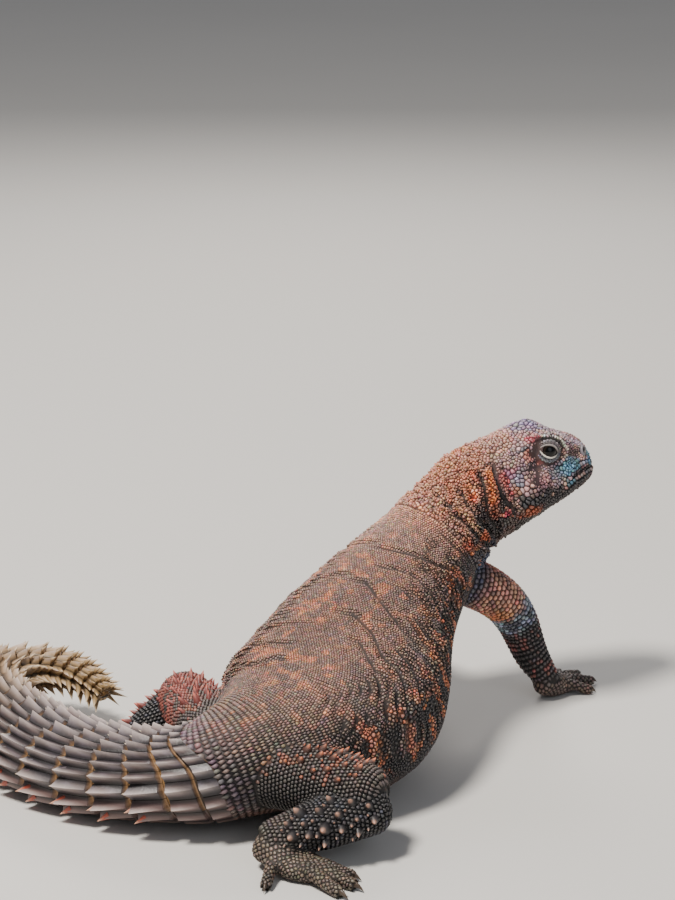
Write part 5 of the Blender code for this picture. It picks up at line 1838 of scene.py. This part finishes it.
across_flat = np.broadcast_to(across_tile, places.shape[:3])
along_flat = np.broadcast_to(along_tile, places.shape[:3])
tile_mid = (tiles[:, 3] + tiles[:, 4]) / 2
rows, columns = places.shape[1:3]
tile_turn = np.repeat(tile_mid, rows * columns)
tile_ring = np.repeat(tiles[:, 0], rows * columns)
tile_colours = plate_marking(tile_ring, tile_turn, places.reshape(-1, 3))
# Painted shade in the hollows between the keels, weaker towards the tail's end.
valley = rise(np.abs(across_flat), 0.1, 0.75).reshape(-1) * (1 - 0.6 * rise(tile_ring, 7, 12))
tile_colours = lay(tile_colours, valley * 0.6, "241e22")
# Painted shadow on the front of each plate, where the ring before it shades it, weaker towards the tail's
# end.
shaded = (1 - rise(along_flat, 0.1, 0.55)).reshape(-1) * (1 - 0.5 * rise(tile_ring, 7, 12))
tile_colours = lay(tile_colours, shaded * 0.45, "1c181c")
# A pale painted highlight along each keel's crest, strongest towards its rear and none on the flat plates
# below.
crest_highlight = ((1 - np.abs(across_flat)) ** 5).reshape(-1) * (1 - rise(np.abs(tile_turn), 118, 134))
crest_highlight = crest_highlight * rise(along_flat, 0.1, 0.8).reshape(-1) * 0.85
tile_colours = lay(tile_colours, crest_highlight, "bcaca6")
in_groove = (1 - rise(along_flat, GROOVE, GROOVE + 0.06)).reshape(-1)
tile_colours = lay(tile_colours, in_groove * (1 - rise(np.abs(tile_turn), 110, 130)) * 0.9, "7a5830")
tail_plates = add_mesh("tail_plates", places.reshape(-1, 3), grid_faces(len(tiles), rows, columns))
tail_plates.data.set_sharp_from_angle(angle=math.radians(32))
# Lift, 1 on the keel and 0 at a plate's sides, from which the finish paints shade in the hollows. It stays
# high in the grooves, whose ochre skin is not darkened.
plate_shade_lift = np.maximum(rise(1 - np.abs(across_flat), 0.0, 0.6).reshape(-1), 0.8 * in_groove)
set_colours(tail_plates, tile_colours, plate_shade_lift)
tile_s = (tiles[:, 1] + tiles[:, 2]) / 2 * MM
root = unwrapped(np.zeros(len(tiles), int), tile_s, np.radians(tile_mid))
patch = PATCH * np.stack([across_flat, 2 * along_flat - 1], -1)
set_unwrap(tail_plates, (root[:, None, None] + patch).reshape(-1, 2))
coat.append(tail_plates)
print("tail plates", len(tiles))


# %% [markdown]
# ## Spines and tubercles
# The rear of each plate runs out in a horny spine, and thigh and shin carry rows of blunt
# cones. Copies of one cone would look alike, so each has its own length, section and colours.

# %% Cones for spines and tubercles
# Shares of a cone's length, and of its width there: a spine's and a tubercle's.
CONE_RINGS = (0.0, 0.16, 0.36, 0.58, 0.80, 1.0)
SPIKE = (1.0, 0.86, 0.64, 0.41, 0.20, 0.02)
THORN = (1.0, 0.91, 0.74, 0.50, 0.25, 0.02)


def cones(
    name, roots, directions, broad, lengths, widths, thicks, colours, tips, marks,
    radius=SPIKE, curve=0.0, around=8, tip_from=0.42,
):
    """Solid cones as one mesh. The radius follows a profile from root to tip, and a curve
    bends each cone outwards as t squared. The tips' colour begins at the share tip_from."""
    t = np.array(CONE_RINGS)
    radius = np.array(radius)
    directions = unit(directions)
    broad = unit(broad - directions * (broad * directions).sum(1, keepdims=True))
    thin = np.cross(directions, broad)
    angles = even_angles(around)
    ring = (
        np.cos(angles)[:, None] * broad[:, None] * widths[:, None, None]
        + np.sin(angles)[:, None] * thin[:, None] * thicks[:, None, None]
    ) / 2
    centre = roots[:, None] + directions[:, None] * (t[:, None] * lengths[:, None, None])
    centre = centre + curve * (t**2)[:, None] * lengths[:, None, None] * thin[:, None]
    places = centre[:, :, None] + radius[:, None, None] * ring[:, None]
    places[..., 2] = np.maximum(places[..., 2], 0.02 * MM)
    many, rows = len(roots), len(t)
    quads = ring_quads(np.arange(rows * around).reshape(rows, around))[:, OTHER_WAY]
    made = add_mesh(name, places.reshape(-1, 3), repeated(quads, many, rows * around))
    tip = rise(t, tip_from, 1.0)[None, :, None]
    shaded = colours[:, None] * (1 - tip) + tips[:, None] * tip
    shaded = np.repeat(shaded[:, :, None], around, 2).reshape(-1, 3)
    # Lift from 0.35 at the root to 1 at the tip. From it the finish paints shade round the root of each
    # cone.
    lift = np.tile(np.repeat(np.clip(0.35 + t, 0, 1), around), many)
    set_colours(made, np.clip(shaded, 0, 1), lift)
    patch = PATCH * np.stack([radius[:, None] * np.cos(angles), radius[:, None] * np.sin(angles)], -1)
    set_unwrap(made, (marks[:, None, None] + patch[None]).reshape(-1, 2))
    print(name, many, "cones")
    return made


spiny = tiles[tiles[:, 5] > 0.3]
spine_s = spiny[:, 2] - 0.22 * (spiny[:, 2] - spiny[:, 1])
spine_turn = (spiny[:, 3] + spiny[:, 4]) / 2
spine_s = (spine_s + whorl_lean(spine_s, spine_turn)) * MM
spine_v = np.radians(spine_turn)
spine_place, spine_out, spine_back = surface_frame(body, spine_s, spine_v)
share = spiny[:, 0] / (len(WHORLS) - 2)
from_spine = np.linalg.norm(spine_place - spine_course.frame(spine_s)[0], axis=1)
wide = (spiny[:, 4] - spiny[:, 3]) * math.pi / 180 * from_spine
tail_colour = plate_marking(spiny[:, 0], np.degrees(spine_v), spine_place)
low_side = rise(np.abs(np.degrees(spine_v)), 84, 100) * (1 - rise(share, 0.35, 0.6))
tail_spines = cones(
    "tail_spines",
    spine_place + spine_out * (0.35 * MM),
    spine_back + spine_out * (0.50 + 0.85 * share)[:, None],
    np.cross(spine_out, spine_back),
    (spiny[:, 5] * 1.35 + 1.6 + 0.4 * share + 0.8 * low_side) * MM,
    (0.62 + 0.33 * share) * wide,
    (1.5 + 0.9 * share + 0.5 * low_side) * MM,
    lay(tail_colour, low_side * 0.9, "b84a30"),
    lay(lay(tail_colour, np.full(len(spiny), 0.75), "e0cdb0"), low_side * 0.5, "eda27c"),
    unwrapped(np.zeros(len(spiny), int), spine_s, spine_v),
    curve=0.06,
)
coat.append(tail_spines)

# %% Tubercles of the hind legs
# Rows along the limb: share of its length, degrees from its top towards its outer side, and
# height and width in millimetres.
TUBERCLES = {
    "thigh": [
        (along, turn + 12 * (row % 2), 2.2, 2.7)
        for row, along in enumerate((0.36, 0.48, 0.60, 0.72, 0.84, 0.95))
        for turn in (-50, -26, -2, 22, 46)
    ],
    "shin": [
        (along, turn + 17 * (row % 2), 2.4, 3.2)
        for row, along in enumerate((0.06, 0.22, 0.38, 0.54, 0.70, 0.84))
        for turn in (18, 52, 86)
    ],
}


def limb_tubercles(name):
    """Cones on one hind limb, large with small ones between, leaning to its far end: what
    the function cones takes, from roots to marks."""
    number = [chart.part.name for chart in charts].index(name)
    part = charts[number].part
    rows = np.array(TUBERCLES[name.split("_")[0]])
    between = rows * (1, 1, 0.6, 0.55) + (0.07, 13, 0, 0)
    rows = np.concatenate([rows, between[between[:, 0] < 0.97]])
    left = name.endswith("left")
    s = rows[:, 0] * part.course.length + 0.25 * MM * chance.normal(size=len(rows))
    v = np.radians(rows[:, 1] * (1 if left else -1) + 4 * chance.normal(size=len(rows)))
    place, out, along = surface_frame(part, s, v)
    grown = 1 + 0.15 * chance.normal(size=len(rows))
    shin = name.startswith("shin")
    base = all_over("16131a" if shin else "4a2a22", len(rows))
    tip = tint("c08c72" if shin else "e8804e")
    tip = np.clip(tip * (1 + 0.2 * chance.normal(size=(len(rows), 1))), 0, 1)
    if left:
        base = all_over("7c342e", len(rows))
        tip = all_over("dc6a54", len(rows))
    clear = np.full(len(rows), 1.0)
    for other, chart in enumerate(charts):
        if other != number:
            clear = np.minimum(clear, chart.near(place)[1])
    good = (clear > 0.4 * MM) & (place[:, 2] > 2.0 * MM)
    return [
        part_of[good]
        for part_of in (
            place - out * 0.9 * MM,
            out + 0.40 * along,
            along,
            (rows[:, 2] * grown + 0.9) * MM,
            rows[:, 3] * grown * (0.7 if left else 1.0) * MM,
            rows[:, 3] * grown * (0.7 if left else 1.0) * MM,
            base,
            tip,
            unwrapped(np.full(len(rows), number), s, v),
        )
    ]


legs = [limb_tubercles(name) for name in ("thigh_right", "shin_right", "thigh_left", "shin_left")]
leg_cones = [np.concatenate(column) for column in zip(*legs)]
coat.append(cones("leg_tubercles", *leg_cones, radius=THORN, around=10, tip_from=0.55))

# %% [markdown]
# ## Claws
# Each digit ends in a dark horn claw, a cone that curves down to the floor. A tapered curve
# would do for one, and rings along the digits' own courses give all twenty at once.

# %% Claws
CLAW_RINGS, CLAW_AROUND = 9, 10


def claw(paw_name, digit):
    """A claw: rings along the last part of the digit's course. Its radius falls as 1 minus t
    to the power 0.9, and its path bows upwards by t times (1 - t)."""
    rows = digit_places(paw_name, digit)
    start, tip = placed(rows[3, :3]), placed(rows[5, :3])
    t = np.linspace(0, 1, CLAW_RINGS)[:, None]
    path = start + (tip - start) * t
    path[:, 2] += 0.9 * MM * (t * (1 - t) * 4)[:, 0] * 0.7
    heading = unit(tip - start)
    left = unit(np.cross(heading, (0, 0, 1)))
    up = np.cross(left, heading)
    radius = rows[3, 3] * MM * 0.62 * np.maximum(1 - t, 0.03) ** 0.9
    angles = even_angles(CLAW_AROUND)
    ring = np.cos(angles)[:, None] * up * 1.15 + np.sin(angles)[:, None] * left * 0.75
    places = path[:, None] + radius[:, :, None] * ring[None]
    places[..., 2] = np.maximum(places[..., 2], 0.05 * MM)
    return places


claw_rings = []
for paw_name in PAWS:
    for digit in FINGERS if paw_name.startswith("hand") else TOES:
        claw_rings.append(claw(paw_name, digit))
claw_rings = np.stack(claw_rings)
claw_quads = ring_quads(np.arange(CLAW_RINGS * CLAW_AROUND).reshape(CLAW_RINGS, CLAW_AROUND))
claw_faces = repeated(claw_quads, len(claw_rings), CLAW_RINGS * CLAW_AROUND)
claws = add_mesh("claws", claw_rings.reshape(-1, 3), claw_faces)
print("claws", len(claw_rings))

# %% [markdown]
# ## Materials
# Nodes can be linked one by one, but the sums in them are then hard to read. So shader maths
# is written as ordinary sums: a small class wraps a socket, and its operators add the nodes.

# %% Wires and paint
BUMP_DEPTH = 0.0002


class Wire:
    """A socket that can be added, subtracted, multiplied and raised to a power."""

    def __init__(self, paint, socket):
        self.paint, self.socket = paint, socket

    def __add__(self, other):
        return self.paint.maths("ADD", self, other)

    def __radd__(self, other):
        return self.paint.maths("ADD", other, self)

    def __sub__(self, other):
        return self.paint.maths("SUBTRACT", self, other)

    def __rsub__(self, other):
        return self.paint.maths("SUBTRACT", other, self)

    def __mul__(self, other):
        return self.paint.maths("MULTIPLY", self, other)

    def __rmul__(self, other):
        return self.paint.maths("MULTIPLY", other, self)

    def __pow__(self, other):
        return self.paint.maths("POWER", self, other)


class Paint:
    """A material, and the one method that adds nodes to it."""

    def __init__(self, name):
        self.material = bpy.data.materials.new(name)
        self.material.use_nodes = True
        self.tree = self.material.node_tree
        self.shader = self.tree.nodes["Principled BSDF"]

    def node(self, kind, settings=None, sockets=None, output=0):
        """Adds a node, sets its settings, fills its sockets and hands back one output."""
        made = self.tree.nodes.new(kind)
        for key, value in (settings or {}).items():
            setattr(made, key, value)
        self.fill(made, sockets or {})
        return Wire(self, made.outputs[output])

    def fill(self, made, sockets):
        """Links a wire to a socket, or sets the socket to a value."""
        for key, value in sockets.items():
            if isinstance(value, Wire):
                self.tree.links.new(value.socket, made.inputs[key])
            else:
                made.inputs[key].default_value = value

    def maths(self, operation, *values):
        """One Math node."""
        return self.node("ShaderNodeMath", {"operation": operation}, dict(enumerate(values)))

    def mix(self, factor, first, second, blend="MIX"):
        """Two colours mixed by a factor."""
        settings = {"data_type": "RGBA", "blend_type": blend}
        return self.node("ShaderNodeMix", settings, {0: factor, 6: first, 7: second}, 2)

    def noise(self, scale, detail=3.0):
        """Noise on Object coordinates, scale grains to a metre."""
        place = self.node("ShaderNodeTexCoord", {}, {}, 3)
        return self.node("ShaderNodeTexNoise", {}, {"Scale": scale, "Detail": detail, "Vector": place})

    def stored(self, name, output=0):
        """What the mesh stores under a name, as a colour or, from output 2, a number."""
        return self.node("ShaderNodeAttribute", {"attribute_name": name}, {}, output)

    def shaded(self, colour, shade):
        """A colour times a number."""
        grey = self.node("ShaderNodeCombineColor", {}, {0: shade, 1: shade, 2: shade})
        return self.mix(1.0, colour, grey, "MULTIPLY")

    def bump(self, height, strength):
        """A normal tipped by a height of up to BUMP_DEPTH."""
        sockets = {"Height": height, "Strength": strength, "Distance": BUMP_DEPTH}
        return self.node("ShaderNodeBump", {}, sockets)

    def surface(self, **sockets):
        """Fills the shader's sockets and hands back the material."""
        self.fill(self.shader, {key.replace("_", " "): value for key, value in sockets.items()})
        return self.material


# %% [markdown]
# ## Finishes
# Scales are horn: dry and faintly glossy. Their crowns are painted pale as a highlight, and their rims dark
# as the shade between neighbours. An image would need a patch for each. Every scale stores how high on it a
# place lies, so one kind of material serves all. The skin between them is painted dark and matt, partly its
# own tone and partly the shade in the seams, and only the eye is wet.

# %% Finish of the scales
FINE_GRAIN, BROAD_GRAIN, SKIN_GRAIN, HORN_GRAIN, FLOOR_GRAIN = 1400.0, 260.0, 1800.0, 900.0, 2.5
# How much brighter than its marking a scale's crown is painted, and the pale tint mixed in there: painted
# light and a painted highlight.
CROWN_SHADE = 1.15
CROWN_HIGHLIGHT = (0.80, 0.71, 0.64, 1)


def scale_finish(name, rim, crown, rough, shine):
    """Scales: the marking, times rim at a scale's rim as painted shade where it meets its neighbours, and
    times CROWN_SHADE on its crown. There a share crown of it is mixed with a pale tint as a painted
    highlight. Fine mottling and a dry gloss."""
    paint = Paint(name)
    colour, lift = paint.stored("marking"), paint.stored("lift", 2)
    fine, broad = paint.noise(FINE_GRAIN), paint.noise(BROAD_GRAIN, 2.0)
    # Painted shade at each scale's rim, where it meets its neighbours, and painted light on its crown.
    shade = rim + (CROWN_SHADE - rim) * lift ** 1.3
    shade = shade * (0.78 + 0.30 * fine + 0.16 * broad)
    # The crown is mixed towards a pale tint: a painted highlight.
    base = paint.mix(crown * lift ** 4, paint.shaded(colour, shade), CROWN_HIGHLIGHT)
    roughness = rough + 0.22 * fine - 0.08 * lift
    normal = paint.bump(fine, 0.35)
    paint.surface(Base_Color=base, Roughness=roughness, Normal=normal)
    paint.shader.inputs["Specular IOR Level"].default_value = shine
    return paint.material


def skin_finish():
    """The skin between the scales: the same marking, matt, with a fine grain, and painted darker, partly
    its own tone and partly the shade in the seams. Where the lift is high, in the tail's grooves, it stays
    bright.
    """
    paint = Paint("skin")
    colour, lift = paint.stored("marking"), paint.stored("lift", 2)
    fine = paint.noise(SKIN_GRAIN)
    # Partly painted shade: the skin at a tenth to a quarter of the marking, but bright where the lift is
    # high.
    base = paint.shaded(colour, 0.10 + 0.14 * fine + 0.6 * lift)
    return paint.surface(Base_Color=base, Roughness=0.55 + 0.3 * fine, Normal=paint.bump(fine, 0.5))


def eye_finish():
    """The eye: dark iris under a clear wet coat."""
    paint = Paint("eye")
    paint.surface(Base_Color=paint.stored("marking"), Roughness=0.12)
    paint.shader.inputs["Specular IOR Level"].default_value = 0.15
    paint.shader.inputs["Coat Weight"].default_value = 0.3
    paint.shader.inputs["Coat Roughness"].default_value = 0.03
    return paint.material


def claw_finish():
    """Dark brown horn, faintly mottled."""
    paint = Paint("claw")
    mottle = paint.noise(HORN_GRAIN)
    base = paint.mix(mottle, (0.03, 0.02, 0.016, 1), (0.11, 0.075, 0.05, 1))
    return paint.surface(Base_Color=base, Roughness=0.3 + 0.2 * mottle)


def floor_finish():
    """A matt pale floor whose tone varies slightly over half a metre."""
    paint = Paint("floor")
    cloudy = paint.noise(FLOOR_GRAIN)
    base = paint.mix(cloudy, (0.62, 0.60, 0.57, 1), (0.66, 0.64, 0.61, 1))
    return paint.surface(Base_Color=base, Roughness=0.85)


# For scales: name, painted shade at the rim, share of painted highlight on the crown, roughness and gloss.
finishes = {
    "head": scale_finish("head_scale", 0.26, 0.10, 0.42, 0.5),
    "trunk": scale_finish("trunk_scale", 0.16, 0.08, 0.45, 0.45),
    "limb": scale_finish("limb_scale", 0.14, 0.08, 0.42, 0.5),
    "tail": scale_finish("tail_horn", 0.30, 0.05, 0.38, 0.5),
    "skin": skin_finish(),
    "eye": eye_finish(),
    "claw": claw_finish(),
}


def dress(piece, finish):
    """Gives a piece its finish and the body that it rides on."""
    piece.data.materials.clear()
    piece.data.materials.append(finishes[finish])
    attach(piece, "root")


# Pieces are finished as their names begin, but for these.
FINISHED_AS = {"belly": "trunk", "lid": "head", "digit": "limb", "leg": "limb"}
for piece in coat:
    kind = piece.name.split("_")[0]
    dress(piece, FINISHED_AS.get(kind, kind))
for piece in lid_pieces:
    dress(piece, "head")
for piece in eyes.values():
    dress(piece, "eye")
dress(skin, "skin")
dress(claws, "claw")
floor.data.materials.append(floor_finish())
print("finishes", sorted(finishes))

# %% [markdown]
# ## Stand for the solids
# The skin takes the place of every solid of flesh, whose facets would poke out between the
# scales, and each eyeball that of its own.

# %% Replace the solids
flesh = [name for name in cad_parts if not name.startswith("eye")]
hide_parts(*flesh)
for name, piece in eyes.items():
    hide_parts(name)
print("solids replaced", len(flesh) + len(eyes))
